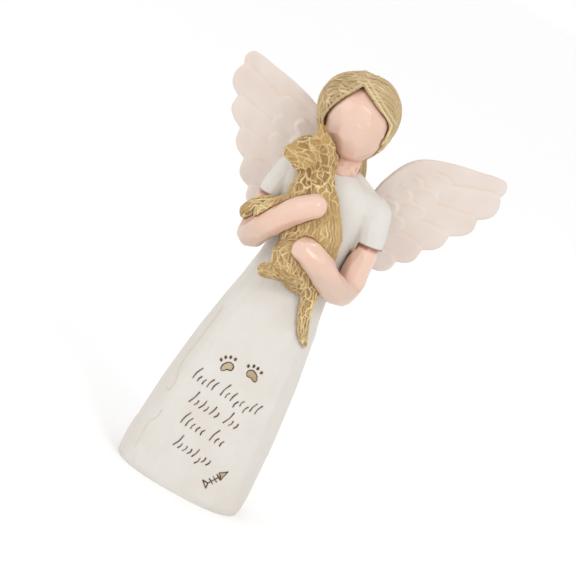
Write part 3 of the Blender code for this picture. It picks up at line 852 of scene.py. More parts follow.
def make_face():
    """Make the smooth head that shows through the hair's window."""
    clay = bmesh.new()
    for middle, half_sizes in FACE_BALLS:
        add_ball(clay, middle, half_sizes, HEAD_LEAN)
    face = fuse("face", clay, voxel=0.45, rounds=5)
    grain = np.tile(UPRIGHT, (len(face.data.vertices), 1))
    chisel(face, grain, width=6.0, stretch=1.3, share=0.6, seed=4, rounds=3)
    return face


neck = make_limb("neck", NECK, 8, NECK_HIDDEN, bodice_rings(146.0, 10, 0.962), width=2.6, share=1.0)
rumple_neck()
arm_right = make_limb("arm_right", RIGHT_ARM, 21, ARMS_HIDDEN)
arm_left = make_limb("arm_left", LEFT_ARM, 33, ARMS_HIDDEN)
face = make_face()

# %% [markdown]
# The hair is a thick cap, cut open in front of the face, with a low tail behind the neck. Its
# strands run from the parting round each side to the nape. The same guide lines that shape the
# locks also give the grain, so the gouge marks follow the combing of the hair.

# %% Hair cap with its window
HAIR_MIDDLE, HAIR_HALF = (-9.4, 1.8, 180.3), (17.5, 18.2, 18.0)
HAIR_TAIL = ((-4.6, 9.0, 169.3, 7.4), (-2.4, 11.0, 162.3, 6.2), (0.6, 12.0, 155.3, 6.4),
             (1.2, 12.6, 147.3, 6.2), (0.6, 12.6, 138.3, 4.6), (0.0, 11.8, 129.3, 2.0))
# Window outline from the parting, first down the right temple, then round the chin to the left
WINDOW_POINTS = ((-13.2, 192.8), (-4.0, 188.2), (4.5, 183.2), (5.2, 177.0), (1.6, 167.2), (-6.0, 156.3),
                 (-17.4, 162.3), (-21.2, 173.9), (-19.2, 181.9))
WINDOW_REACH, WINDOW_FRONT = 12, -14.5
SIDE_LOCK = ((7.0, -2.0, 179.5, 1.6), (6.6, -2.6, 174.6, 1.5), (5.0, -2.6, 170.0, 1.3),
             (2.9, -2.4, 166.0, 0.9))
# Raised rims along the window, brushed cream, partly a painted highlight: how far from its edge, and how
# bright
RIM_HIGHLIGHTS, RIM_HALF = ((1.3, 1.0), (3.0, 0.8)), 0.42
COMB_LINES = 170
HEAD_TURN = Matrix.Rotation(math.radians(-HEAD_LEAN), 3, "Y")


def hair_line(side, share, steps=6, lift=0.945):
    """Give the stations of one lock from the parting round the head; share runs front to back."""
    stations = []
    for travel in np.linspace(0, 1, steps):
        from_parting = math.radians(-62 + 128 * share)
        start = Vector((-0.17, math.sin(from_parting), math.cos(from_parting)))
        low = Vector((side * (0.55 + 0.2 * math.sin(math.pi * share)), -0.42 + 1.15 * share,
                      -0.30 - 0.35 * share))
        bow = Vector((side * 0.85, 0.0, 0.35)) * math.sin(math.pi * travel)
        around = (start * (1 - travel) + low * travel + bow).normalized()
        spot = Vector(HAIR_MIDDLE) + HEAD_TURN @ Vector([a * h for a, h in zip(around, HAIR_HALF)]) * lift
        stations.append((*spot, 1.9 + 0.9 * math.sin(math.pi * min(travel + 0.15, 1))))
    return stations


def stand_prism(prism):
    """Weld the drawn prism and stand it up in front of the face."""
    bmesh.ops.remove_doubles(prism, verts=prism.verts, dist=0.01)
    turn = Matrix.Translation((0, WINDOW_FRONT, 0)) @ Matrix.Rotation(math.radians(90), 4, "X")
    bmesh.ops.transform(prism, matrix=turn, verts=prism.verts)
    bmesh.ops.recalc_face_normals(prism, faces=prism.faces)


def window_cutter():
    """Make the prism that opens the hair in front of the face, pointed at the parting."""
    mesh = drawn_curve("face_window", [(x, z, 0) for x, z in WINDOW_POINTS],
                       {"dimensions": "2D", "fill_mode": "BOTH", "extrude": WINDOW_REACH,
                        "resolution_u": 10}, closed=True, corners=(0,))
    rework(mesh, stand_prism)
    return put_in_scene("face_window", mesh)


def make_hair():
    """Fuse the cap and its locks, cut the window, add the tail, and fuse them again."""
    clay = bmesh.new()
    add_ball(clay, HAIR_MIDDLE, HAIR_HALF, HEAD_LEAN)
    for side, count in ((1, 7), (-1, 6)):
        for number in range(count):
            add_limb(clay, hair_line(side, (number + 0.5) / count))
    cap = fuse("hair", clay, voxel=0.8, rounds=0)
    window = window_cutter()
    bite = cap.modifiers.new("window", "BOOLEAN")
    bite.operation = "DIFFERENCE"
    bite.solver = "EXACT"
    bite.object = window
    cut = mesh_of(cap)
    for spent in (cap, window):
        bpy.data.objects.remove(spent, do_unlink=True)
    clay = bmesh.new()
    pour(clay, cut)
    add_limb(clay, HAIR_TAIL)
    add_limb(clay, SIDE_LOCK)
    return fuse("hair", clay, voxel=0.37, rounds=3)


hair = make_hair()

# %% [markdown]
# Now the gouge goes over the hair. The strands at the right are long and fine; at the left they
# are shorter and crossed, as the carver turned the tool there. Cells can't follow a bend for long,
# so the long strands come from a running number across the combing: it is the same all along a
# guide line and grows from one line to the next. A ridge value is kept for the paint, because
# ridges are brushed light at the end and hollows keep the dark wash.

# %% Ridges and tones of the strands
RIDGE_HALF, BEND_SIZE, FADE_SIZE = 0.30, 5.0, 7.0
TONE_COUNT, BRIGHT_COUNT = 400, 97
TAIL_NUMBER = 6.0
# A network of cells: cell width, stretch, ridge height, bowl depth, how bent, and how strongly painted
Network = namedtuple("Network", "width stretch height depth bend show")
# Combed strands: a running number across the combing, ridge height and strength
Strands = namedtuple("Strands", "course height show")


def comb_strands(course, seed):
    """Turn a running number across the combing into ridges and tones, a pair for each strand."""
    tones = np.random.default_rng(seed).random(TONE_COUNT)
    spot = np.floor(course).astype(int)
    part = course - spot
    tone = tones[spot % TONE_COUNT]
    tone += (tones[(spot + 1) % TONE_COUNT] - tone) * ramp(part, 0.6, 1.0)
    bright = 0.4 + 0.6 * tones[np.round(course).astype(int) % BRIGHT_COUNT]
    return np.exp(-(np.minimum(part, 1 - part) / 0.2) ** 2) * bright, ramp(tone, 0.3, 0.95)


# %% Carving with the gouge


def carve(thing, grain, networks, seed, weight=1.0, rims=0.0, combed=()):
    """Cut networks of gouge marks and combed strands over each other, and note them for the paint."""
    mesh = thing.data
    points, normals, edges = read_points(mesh), read_normals(mesh), read_edges(mesh)
    grain = soften(grain, edges, 10)
    grain /= np.maximum(np.linalg.norm(grain, axis=1), 0.01)[:, None]
    lift = np.zeros(len(points))
    ridges, pools = lift.copy(), lift.copy()
    for number, (width, stretch, height, depth, bend, show) in enumerate(networks):
        draw_from = seed + 10 * number
        bends = [bend * wobble(points, BEND_SIZE, draw_from + axis) for axis in (1, 2, 3)]
        bent = points + np.column_stack(bends)
        edge, cell, seeds = gouge_marks(bent, grain, width, stretch, draw_from)
        deep = np.random.default_rng(draw_from + 4).random(len(seeds))[cell] ** 1.2
        fade = ramp(wobble(points, FADE_SIZE, draw_from + 5), -1.2, 0.3)
        ridge = np.exp(-(edge / np.minimum(RIDGE_HALF, width * 0.17)) ** 2) * (0.35 + 0.65 * fade)
        lift += show * (height * ridge - depth * ramp(edge, 0.0, width * 0.3) * (0.3 + 0.7 * deep))
        ridges = np.maximum(ridges, ridge * show)
        pools += show * ramp(deep, 0.1, 0.9) * ramp(edge, 0.1, 0.5) * (1 - 0.5 * ramp(edge, 0.5, width * 0.5))
    for number, (course, height, show) in enumerate(combed):
        ridge, tone = comb_strands(course, seed + 60 + number)
        shown = show * (0.35 + 0.65 * ramp(wobble(points, FADE_SIZE, seed + 70 + number), -0.9, 0.5))
        lift += height * (ridge - tone) * shown
        ridges = np.maximum(ridges, ridge * shown)
        pools += tone * (1 - ridge) * shown
    write_points(mesh, points + normals * (weight * lift + 0.3 * np.array(rims))[:, None])
    note(thing, "ridge", np.maximum(ridges * weight, rims))
    note(thing, "tone", 0.85 * np.minimum(pools, 1) * weight)
    note(thing, "hollow_wash_and_shade", ramp(hollowness(mesh, 14), 0.0, 0.45))


# %% Combing the hair


def comb(points):
    """Give each point of the hair its grain and its running number, from the nearest guide line."""
    places, ways, numbers = [], [], []
    for side in (1, -1):
        for share in np.linspace(-0.2, 1.2, COMB_LINES):
            spots = np.array(hair_line(side, share, 24, 1.0))[:, :3]
            places.extend(spots)
            ways.extend(np.gradient(spots, axis=0))
            numbers.extend([side * 2.0 + share] * len(spots))
    for place, way, radius in zip(*line_through(HAIR_TAIL, 6)):
        for degrees in range(0, 360, 12):
            angle = math.radians(degrees)
            places.append(place + radius * np.array((math.cos(angle), math.sin(angle), 0)))
            ways.append(way)
            numbers.append(TAIL_NUMBER + degrees / 360)
    tree = KDTree(len(places))
    for number, place in enumerate(places):
        tree.insert(place, number)
    tree.balance()
    nearest = [tree.find(point)[1] for point in points]
    grain = np.array(ways)[nearest]
    return grain / np.linalg.norm(grain, axis=1)[:, None], np.array(numbers)[nearest]


def carve_hair():
    """Follow the combing: long strands everywhere, crossed gouge marks at the left in front."""
    points, edges = read_points(hair.data), read_edges(hair.data)
    grain, number = comb(points)
    number = soften(number, edges, 2)
    waves = 0.018 * wobble(points, 9.0, 81) + 0.004 * wobble(points, 3.5, 82)
    right = ramp(points[:, 0], -15, -11)
    behind = ramp(points[:, 1], -4, 2)
    from_window = distance_to_line(points[:, [0, 2]], (*WINDOW_POINTS, WINDOW_POINTS[0]))
    rims = np.zeros(len(points))
    for away, strength in RIM_HIGHLIGHTS:
        rims = np.maximum(rims, strength * np.exp(-((from_window - away) / RIM_HALF) ** 2))
    front = ramp(-points[:, 1], 3, 7)
    # painted highlight: the rims are brushed lighter towards the right side
    rims *= front * (0.5 + 0.5 * right)
    calm = 1 - 0.75 * np.exp(-(from_window / 1.1) ** 2) * front
    crossed = (1 - np.maximum(right, behind)) * ramp(points[:, 2], 166, 172)
    gouged = Network(width=2.1, stretch=4.0, height=0.26, depth=0.34, bend=0.5, show=0.85 * crossed)
    course = number + waves
    tail = ramp(number, TAIL_NUMBER - 2, TAIL_NUMBER - 1)
    wide = Strands(course * (27 - 9 * tail), height=0.24, show=1.2 - 0.65 * crossed)
    narrow = Strands(course * 53, height=0.12, show=0.7 - 0.4 * crossed)
    carve(hair, grain, (gouged,), 17, calm, rims, (wide, narrow))


carve_hair()

# %% [markdown]
# The cat hangs over the arms: head in profile against the angel's cheek, a long body, a thigh, one
# hind foot, two forepaws over an arm, and a tail that lies on the gown. Every limb is listed once
# and used twice, as clay and as grain.

# %% The cat's clay
# The limbs, the head and the thigh are lists of (x, y, z, radius); a ball is middle, half sizes, lean
CAT_BALLS = (
    ((-18.2, -15.0, 156.5), (9.8, 8.4, 8.8), 10), ((-25.0, -15.6, 153.9), (4.8, 5.4, 3.9), 0),
    ((-13.4, -16.4, 140.7), (6.4, 7.4, 8.6), 0), ((-11.6, -8.4, 156.0), (5.4, 6.4, 7.4), 0),
    ((-3.4, -19.4, 115.3), (9.4, 8.0, 10.4), 0),
)
CAT_BODY = ((-14.5, -15.2, 156.3, 7.4), (-10.8, -16.0, 147.3, 8.6), (-6.2, -16.6, 137.8, 11.4),
            (-1.8, -16.4, 127.3, 13.8), (0.8, -16.0, 117.8, 13.0), (3.0, -15.6, 112.3, 11.0))
CAT_LIMBS = (
    ((-14.6, -16.5, 161.3, 5.2), (-17.8, -16.0, 166.2, 3.4), (-21.0, -15.2, 170.9, 1.1)),
    ((-13.4, -9.5, 160.3, 4.6), (-16.4, -8.5, 164.7, 2.8), (-18.4, -8.0, 167.3, 1.2)),
    ((6.5, -19.0, 108.9, 4.0), (0.0, -20.6, 107.9, 3.7), (-6.4, -22.0, 106.5, 3.6),
     (-11.6, -22.8, 104.9, 3.3)),
    ((-15.0, -17.5, 136.3, 3.6), (-19.6, -19.4, 133.3, 3.0), (-23.2, -18.6, 128.9, 3.0),
     (-25.4, -17.4, 124.9, 3.0)),
    ((-24.0, -14.0, 130.7, 2.8), (-29.0, -13.4, 126.6, 3.0), (-31.0, -11.4, 121.4, 3.1)),
)
CAT_TAIL = tuple((x, gown_front(x, z) - proud, z, radius) for x, z, radius, proud in (
    (9.6, 108.4, 4.4, 5.0), (11.2, 100.4, 3.4, 3.0), (12.8, 94.4, 3.0, 2.2), (15.4, 88.4, 2.6, 1.8),
    (19.2, 82.9, 1.3, 0.9)))


def make_cat():
    """Fuse the cat's lumps to one skin."""
    clay = bmesh.new()
    for ball in CAT_BALLS:
        add_ball(clay, *ball)
    add_limb(clay, CAT_BODY, flatness=0.72)
    for stations in (*CAT_LIMBS, CAT_TAIL):
        add_limb(clay, stations)
    return fuse("cat", clay, voxel=0.34, rounds=3)


cat = make_cat()

# %% [markdown]
# The fur is gouged. On the head, the chest and the thigh the marks are short cells; along the body,
# the legs and the tail they are long strands. The muzzle stays smooth, with a light line for the
# mouth, and the eye is only a shallow dip, because the real one has no painted eyes.

# %% Carve the fur
# The smooth muzzle, the dips of the near eye, the brow and the cheek, and the light line of the mouth
MUZZLE, MUZZLE_HALF = (-27.0, -17.0, 156.8), (3.4, 6.0, 2.4)
EYES, EYE_DEPTH = ((-23.2, 160.4, 1.5), (-26.2, 162.2, 1.2), (-19.6, 158.2, 1.0)), 0.55
MOUTH, MOUTH_HALF = ((-29.4, 154.9), (-24.5, 154.2), (-19.5, 155.2), (-15.5, 155.4)), 0.4
# Grain lines that aren't limbs: from the nose over the head, and round the thigh
HEAD_GRAIN = ((-29.0, -16.0, 153.5, 4.0), (-23.0, -17.5, 157.5, 6.0), (-16.0, -17.0, 158.0, 7.0),
              (-11.0, -16.5, 152.0, 7.0))
THIGH_GRAIN = ((2.0, -21.0, 121.5, 5.5), (-7.0, -21.5, 121.0, 5.5), (-11.0, -20.5, 115.0, 5.5),
               (-8.0, -21.0, 108.5, 5.5), (0.0, -21.5, 106.5, 5.5))


def carve_cat():
    """Cut cells on the head, the chest and the thigh, and long strands along the body and the legs."""
    points = read_points(cat.data)
    lines = [line_through(s) for s in (CAT_BODY, *CAT_LIMBS, CAT_TAIL, HEAD_GRAIN, THIGH_GRAIN)]
    grain, around = grain_along(points, lines)
    across, height = points[:, 0], points[:, 2]
    head = ramp(height, 136, 146)
    legs = np.maximum(ramp(-across, 13, 16) * ramp(-height, -139, -135), ramp(-height, -111, -107))
    low = ramp(-height, -122, -114)
    patches = 0.4 + 0.5 * ramp(wobble(points, 13.0, 75), 0.0, 0.6)
    small = Network(width=2.8 + 0.3 * head - 0.9 * legs, stretch=2.6 - 0.9 * head + 1.4 * legs, height=0.26,
                    depth=0.36, bend=0.8, show=np.maximum(np.maximum(head, 0.95 * low), patches))
    large = Network(width=4.4, stretch=4.0 - 1.8 * head, height=0.24, depth=0.20, bend=1.0,
                    show=0.4 + 0.2 * head)
    course = around + 0.7 * wobble(points, 9.0, 83) + 0.25 * wobble(points, 3.5, 84)
    wide = Strands(course / 1.6, height=0.24, show=1.1 - 0.95 * head - 0.5 * low + 0.4 * legs)
    narrow = Strands(course / 0.85, height=0.12, show=0.55 - 0.35 * head)
    mouth = line_mark(points[:, [0, 2]], MOUTH, MOUTH_HALF) * ramp(-points[:, 1], 14, 17)
    from_muzzle = np.linalg.norm((points - MUZZLE) / MUZZLE_HALF, axis=1)
    calm = 0.7 + 0.3 * ramp(wobble(points, 12.0, 71), -0.8, 0.0)
    calm *= ramp(from_muzzle, 0.7, 1.3) * (1 + 0.2 * low + 0.2 * legs)
    carve(cat, grain, (small, large), 29, calm, mouth * 0.5, (wide, narrow))


def press_eyes():
    """Press the shallow dips of the eye, the brow and the cheek."""
    points, normals = read_points(cat.data), read_normals(cat.data)
    for x, z, size in EYES:
        from_eye = (points[:, 0] - x) ** 2 + (points[:, 2] - z) ** 2
        dip = np.exp(-from_eye / size ** 2) * ramp(-points[:, 1], 14, 18)
        points -= normals * (EYE_DEPTH * dip)[:, None]
    write_points(cat.data, points)


carve_cat()
press_eyes()

# %% [markdown]
# The wings are layers of flat feathers with round edges: six flight feathers, two rows of coverts
# on top, and a thick leading edge. A flat filled curve with a bevel gives such a plate at once. Each
# plate is tilted a little, so its upper edge stands over the feather above it, as shingles do. They
# are drawn flat, then swept back. The left wing is the right one mirrored, dropped a little and
# turned, as it was cemented on.

# %% The wings' sizes and feathers
WAIST_HALF = WAIST_WIDTH / 2
SEAT_Y = WAIST_HALF * 0.74 * BACK_SHARE * 0.84
SEAT_GAP = 0.0003 / UNIT
WING_SPAN = 0.1300 / UNIT
WING_HALF_THICKNESS = 0.0052 / UNIT / 2
WING_INNER, WING_REACH, WING_SWEEP, WING_ROOT_BEHIND_SEAT = 8.8, 65.0, 0.19, 4.8
LEFT_WING_DROP, LEFT_WING_TURN, WING_TURN_PLACE = 2.1, 2.0, (14.0, 138.3)
COVERT_STEP, PLATE_EDGE_ROUND, PLATE_TILT = 0.80, 1.3, 0.080
# Flight feathers: outlines in (x, z), from the upper corner of the tip round its end and back
FLIGHT_FEATHERS = (
    ((59.3, 184.2), (62.6, 183.9), (64.3, 181.4), (64.2, 178.4), (62.6, 176.4), (52.6, 174.6), (43.8, 171.4),
     (35.0, 165.5), (26.0, 156.0), (18.0, 146.0), (13.4, 150.0), (13.6, 156.0), (15.3, 161.6), (17.9, 167.6),
     (20.7, 171.8), (24.1, 174.9), (28.5, 177.2), (33.5, 178.9), (41.6, 181.0), (50.5, 182.6)),
    ((62.9, 177.1), (65.1, 173.8), (65.5, 170.5), (64.6, 167.4), (62.2, 165.0), (58.4, 163.0), (50.5, 161.6),
     (43.4, 160.2), (33.0, 155.0), (22.0, 146.0), (20.0, 158.0), (34.0, 167.5), (43.8, 172.2), (52.6, 175.2)),
    ((58.8, 163.7), (60.1, 160.5), (59.9, 157.2), (58.0, 154.6), (55.0, 152.5), (51.0, 150.8), (44.0, 150.0),
     (35.0, 147.0), (22.0, 139.0), (18.0, 150.0), (32.0, 158.0), (43.4, 161.6), (50.5, 162.8)),
    ((51.4, 151.8), (52.1, 148.2), (51.1, 144.6), (49.0, 142.3), (46.4, 140.8), (43.4, 139.8), (37.3, 139.6),
     (30.0, 136.5), (20.0, 130.5), (16.0, 142.0), (30.0, 149.0), (38.0, 151.6), (44.0, 152.3)),
    ((43.8, 141.0), (44.4, 136.8), (43.5, 133.6), (41.2, 131.4), (37.0, 129.9), (31.0, 129.2), (22.0, 125.5),
     (14.0, 130.0), (14.0, 137.0), (24.0, 139.5), (33.0, 143.0), (38.0, 142.5)),
    ((36.4, 130.8), (36.8, 127.5), (35.6, 124.7), (33.0, 122.8), (29.5, 122.0), (22.0, 123.4), (13.0, 126.0),
     (12.0, 134.0), (24.0, 132.0), (31.0, 132.8)),
)
# Coverts: root, end of the middle line, half width, layer
COVERTS = (
    ((24.0, 164.0), (37.8, 169.4), 4.7, 1), ((22.5, 156.8), (36.6, 161.6), 4.2, 1),
    ((20.0, 149.8), (34.7, 153.6), 4.0, 1), ((17.0, 142.8), (28.4, 144.9), 4.0, 1),
    ((14.5, 136.3), (23.6, 135.4), 3.7, 1), ((20.5, 161.8), (27.7, 164.7), 3.4, 2),
    ((18.5, 154.6), (26.4, 157.5), 3.3, 2), ((16.5, 148.0), (23.4, 150.6), 3.3, 2),
    ((14.5, 141.8), (20.8, 142.6), 3.2, 2),
)
LEADING_EDGE = ((15.5, 147.0, 3.4), (19.0, 157.5, 4.0), (24.6, 167.6, 4.2), (32.0, 172.8, 4.0),
                (44.0, 176.4, 3.6), (58.0, 179.6, 3.2))
WING_ROOT = ((13.0, 128.3, 4.4), (13.2, 138.3, 4.8), (14.6, 148.3, 4.8))


# %% One feather


def capsule(root, end, half):
    """Give the outline of a covert: straight sides and a round end."""
    along = Vector((end[0] - root[0], end[1] - root[1])).normalized()
    across = Vector((-along.y, along.x))
    outline = [Vector(root) + across * half]
    for degrees in (90, 45, 0, -45, -90):
        angle = math.radians(degrees)
        outline.append(Vector(end) + (along * math.cos(angle) + across * math.sin(angle)) * half)
    return outline + [Vector(root) - across * half]


def add_plate(clay, outline, layer):
    """Add one feather as a flat plate with round edges, tilted about its length."""
    mesh = drawn_curve("feather", [(x, z, 0) for x, z in outline],
                       {"dimensions": "2D", "fill_mode": "BOTH",
                        "extrude": WING_HALF_THICKNESS - PLATE_EDGE_ROUND, "bevel_depth": PLATE_EDGE_ROUND,
                        "bevel_resolution": 4, "offset": -PLATE_EDGE_ROUND}, closed=True)
    places = np.array([tuple(spot) for spot in outline])
    middle = places.mean(axis=0)
    along = np.linalg.svd(places - middle)[2][0]
    across = np.array((-along[1], along[0])) * math.copysign(1, along[0])
    points = read_points(mesh)
    above = (points[:, :2] - middle) @ across
    out = points[:, 0] - min(places[:, 0])
    reach = np.ptp(places[:, 0])
    lift = layer * COVERT_STEP * ramp(out, 0.15 * reach, 0.75 * reach)
    depth = points[:, 2] - lift - above * PLATE_TILT
    write_points(mesh, np.column_stack((points[:, 0], depth, points[:, 1])))
    pour(clay, mesh)


def add_feather(clay, stations, layer):
    """Add a flattened limb through (x, z, half width) stations, on a layer to the front."""
    first = len(clay.verts)
    add_limb(clay, [(x, 0.0, z, half) for x, z, half in stations], sides=8)
    clay.verts.ensure_lookup_table()
    widest = max(half for _, _, half in stations)
    flatten = Matrix.Diagonal((1, WING_HALF_THICKNESS / widest, 1, 1))
    forward = Matrix.Translation((0, -layer * COVERT_STEP, 0))
    bmesh.ops.transform(clay, matrix=forward @ flatten, verts=clay.verts[first:])


# %% Two wings


def make_wing(side):
    """Build one wing of feathers with a pad that seats on the figure's back."""
    clay = bmesh.new()
    for outline in FLIGHT_FEATHERS:
        add_plate(clay, outline, 0)
    for root, end, half, layer in COVERTS:
        add_plate(clay, capsule(root, end, half), layer)
    add_feather(clay, LEADING_EDGE, 0.4)
    add_feather(clay, WING_ROOT, 0)
    bmesh.ops.remove_doubles(clay, verts=clay.verts, dist=0.002)
    stretch = (WING_SPAN / 2 - WING_INNER) / (WING_REACH - WING_INNER)
    for vert in clay.verts:
        out = vert.co.x - WING_INNER
        vert.co.x = WING_INNER + out * stretch
        vert.co.y += SEAT_Y + WING_ROOT_BEHIND_SEAT + WING_SWEEP * out
    add_ball(clay, (WAIST_HALF * 0.79, SEAT_Y + 2.0, 138.8), (4.6, 5.0, 13.2))
    if side < 0:
        pivot = Vector((WING_TURN_PLACE[0], 0, WING_TURN_PLACE[1]))
        turn = Matrix.Rotation(math.radians(LEFT_WING_TURN), 4, "Y")
        pose = Matrix.Translation((0, 0, -LEFT_WING_DROP)) @ Matrix.Translation(pivot) @ turn
        pose = pose @ Matrix.Translation(-pivot)
        bmesh.ops.transform(clay, matrix=Matrix.Diagonal((-1, 1, 1, 1)) @ pose, verts=clay.verts)
        bmesh.ops.reverse_faces(clay, faces=clay.faces)
    wing = fuse("feathers_right" if side > 0 else "feathers_left", clay, voxel=0.45, rounds=3)
    points = read_points(wing.data)
    points[:, 1] += 0.14 * wobble(points, 8.0, 50 + side)
    points[:, 1] = np.maximum(points[:, 1], SEAT_Y + SEAT_GAP)
    write_points(wing.data, points)
    # painted shade: warm cream in the grooves between the feathers
    note(wing, "hollow_wash_and_shade", ramp(soften(hollowness(wing.data, 30), read_edges(wing.data), 3), 0.02, 0.16))
    return wing


wings = [make_wing(side) for side in (-1, 1)]

# %% [markdown]
# The brown wash gathers where two painted regions meet: round the face, along the arms, under the
# sleeves' hems. Shade is painted the same way: a brown painted shadow where the cat lies on the gown,
# and darker colour under the cat, under the chin and between the parts. So each piece is told how
# near its neighbours are. A search tree of the neighbour answers that point by point.

# %% How near the neighbours are


def near(thing, others, reach):
    """Give 1 where a point touches a neighbour and 0 from reach units away."""
    trees = [tree_of(other) for other in others]
    values = np.zeros(len(thing.data.vertices))
    for spot, vert in enumerate(thing.data.vertices):
        for tree in trees:
            hit = tree.find_nearest(vert.co, reach)
            if hit[0] is not None:
                values[spot] = max(values[spot], 1 - hit[3] / reach)
    return values


def line_by_neighbours(thing, others, reach, low=0.1, high=1.0):
    """Give a mark along the neighbours: it starts at low and is full at high, of 1 for touching."""
    return ramp(near(thing, others, reach), low, high)


def uneven(thing, seed):
    """Say how strong the wash is here, and on the cat the painted shade, as a share that changes along the
    line.
    """
    return 0.6 + 0.4 * ramp(wobble(read_points(thing.data), 9.0, seed), -0.8, 0.8)


# %% Washes and painted shade on the skin
arms = (arm_left, arm_right)
left_side = ramp(-read_points(face.data)[:, 0], 10, 17)
note(face, "wash_and_shade", line_by_neighbours(face, [hair], 2.1, 0.44 - 0.30 * left_side, 0.95) * uneven(face, 91))
# painted shade: the face darker pink beside the cat's head and above the neck
note(face, "flush_and_shade", line_by_neighbours(face, [cat, neck], 4.0))
note(neck, "wash_and_shade", line_by_neighbours(neck, [cat, hair], 0.9, 0.30) * 0.6)
# painted shade: the neck darker pink under the chin and above the cloth
note(neck, "flush_and_shade", np.maximum(line_by_neighbours(neck, [face], 3.2, 0.2), line_by_neighbours(neck, [bodice], 1.4, 0.2)))
for arm, seed in zip(arms, (92, 93)):
    at_sleeve = line_by_neighbours(arm, [bodice], 2.0, 0.05, 0.5) * ramp(read_points(arm.data)[:, 2], 128.5, 131)
    note(arm, "wash_and_shade", np.maximum(line_by_neighbours(arm, [cat], 0.9, 0.35), at_sleeve) * uneven(arm, seed))
    # painted shade: the arm darker pink where it meets the cat and the cloth
    note(arm, "flush_and_shade", line_by_neighbours(arm, [cat, bodice], 3.4))
# painted shade: the skin greyer towards the bottom of the face and of the arms
for thing, high, low, most in ((face, 186, 178, 0.35), (arm_left, 123, 116, 1), (arm_right, 119, 113, 1)):
    note(thing, "painted_low_shade", ramp(-read_points(thing.data)[:, 2], -high, -low) * most)
print("skin washed")

# %% Washes on the hair and the fur, and painted shade under the cat
note(hair, "wash_and_shade", line_by_neighbours(hair, [face, neck, bodice], 1.3, 0.30, 0.95) * uneven(hair, 94))
facing, places = read_normals(cat.data), read_points(cat.data)
# painted shade: the cat darker on its undersides and on the side turned to the left, low down
painted_underside_shade = np.maximum(ramp(-facing[:, 2], 0.5, 0.95), ramp(-facing[:, 0], 0.7, 1.0))
painted_underside_shade *= 0.6 * ramp(-places[:, 2], -140, -115)
line = line_by_neighbours(cat, [*arms, face, skirt, bodice], 1.6, 0.25)
note(cat, "wash_and_shade", np.maximum(line, painted_underside_shade) * uneven(cat, 95))
print("hair and fur washed")

# %% Washes and painted shade on the gown
# painted shade on the bodice beside the cat and under the hair
note(bodice, "wash_and_shade", line_by_neighbours(bodice, [cat, hair], 0.9, 0.2) * 0.4)
cloth = read_points(bodice.data)
height = np.full(len(cloth), 9.0)
for hem in SLEEVE_HEMS:
    above, beside = above_hem(cloth, *hem)
    height[beside] = above[beside]
note(bodice, "hem", line_by_neighbours(bodice, arms, 2.6, 0.3, 0.6) * (1 - ramp(height, 0.1, 0.8)))
# painted shadow of the cat on the skirt
note(skirt, "wash_and_shade", line_by_neighbours(skirt, [cat], 2.0, 0.2))
for name, values in (("crease", crease), ("fill", fill), ("smudge", smudge)):
    note(skirt, name, values)
# painted shade: darker in the hollows, and on the skirt also down its side planes, where the light falls off
for thing in (skirt, bodice, face, neck, *arms):
    hollow_wash_and_shade = ramp(hollowness(thing.data, 14), 0.02, 0.22)
    note(thing, "hollow_wash_and_shade", np.maximum(hollow_wash_and_shade, 0.7 * sides) if thing is skirt else hollow_wash_and_shade)
print("gown washed")

# %% [markdown]
# Paint is node maths, written as sums. The class below wraps one output of a node, so that
# `wash * 0.6 + hollow` adds the Math nodes itself. Numbers alone are worked out in Python. Colours
# go through Mix nodes, because a Math node would turn them grey.

# %% Shader sums


class Wire:
    """One output in a paint's node tree, which can be added to and multiplied like a number."""

    def __init__(self, paint, socket):
        self.paint = paint
        self.socket = socket

    def sum(self, operation, first, second):
        return self.paint.node("ShaderNodeMath", {"operation": operation, "use_clamp": True},
                               {0: first, 1: second})

    def __add__(self, other):
        return self.sum("ADD", self, other)

    def __sub__(self, other):
        return self.sum("SUBTRACT", self, other)

    def __rsub__(self, other):
        return self.sum("SUBTRACT", other, self)

    def __mul__(self, other):
        return self.sum("MULTIPLY", self, other)

    __radd__ = __add__
    __rmul__ = __mul__


def colour(red, green, blue):
    """Turn a colour as a screen shows it, 0 to 255, into the light that a shader wants."""
    shares = [value / 255 for value in (red, green, blue)]
    return (*[share / 12.92 if share < 0.04045 else ((share + 0.055) / 1.055) ** 2.4 for share in shares], 1)


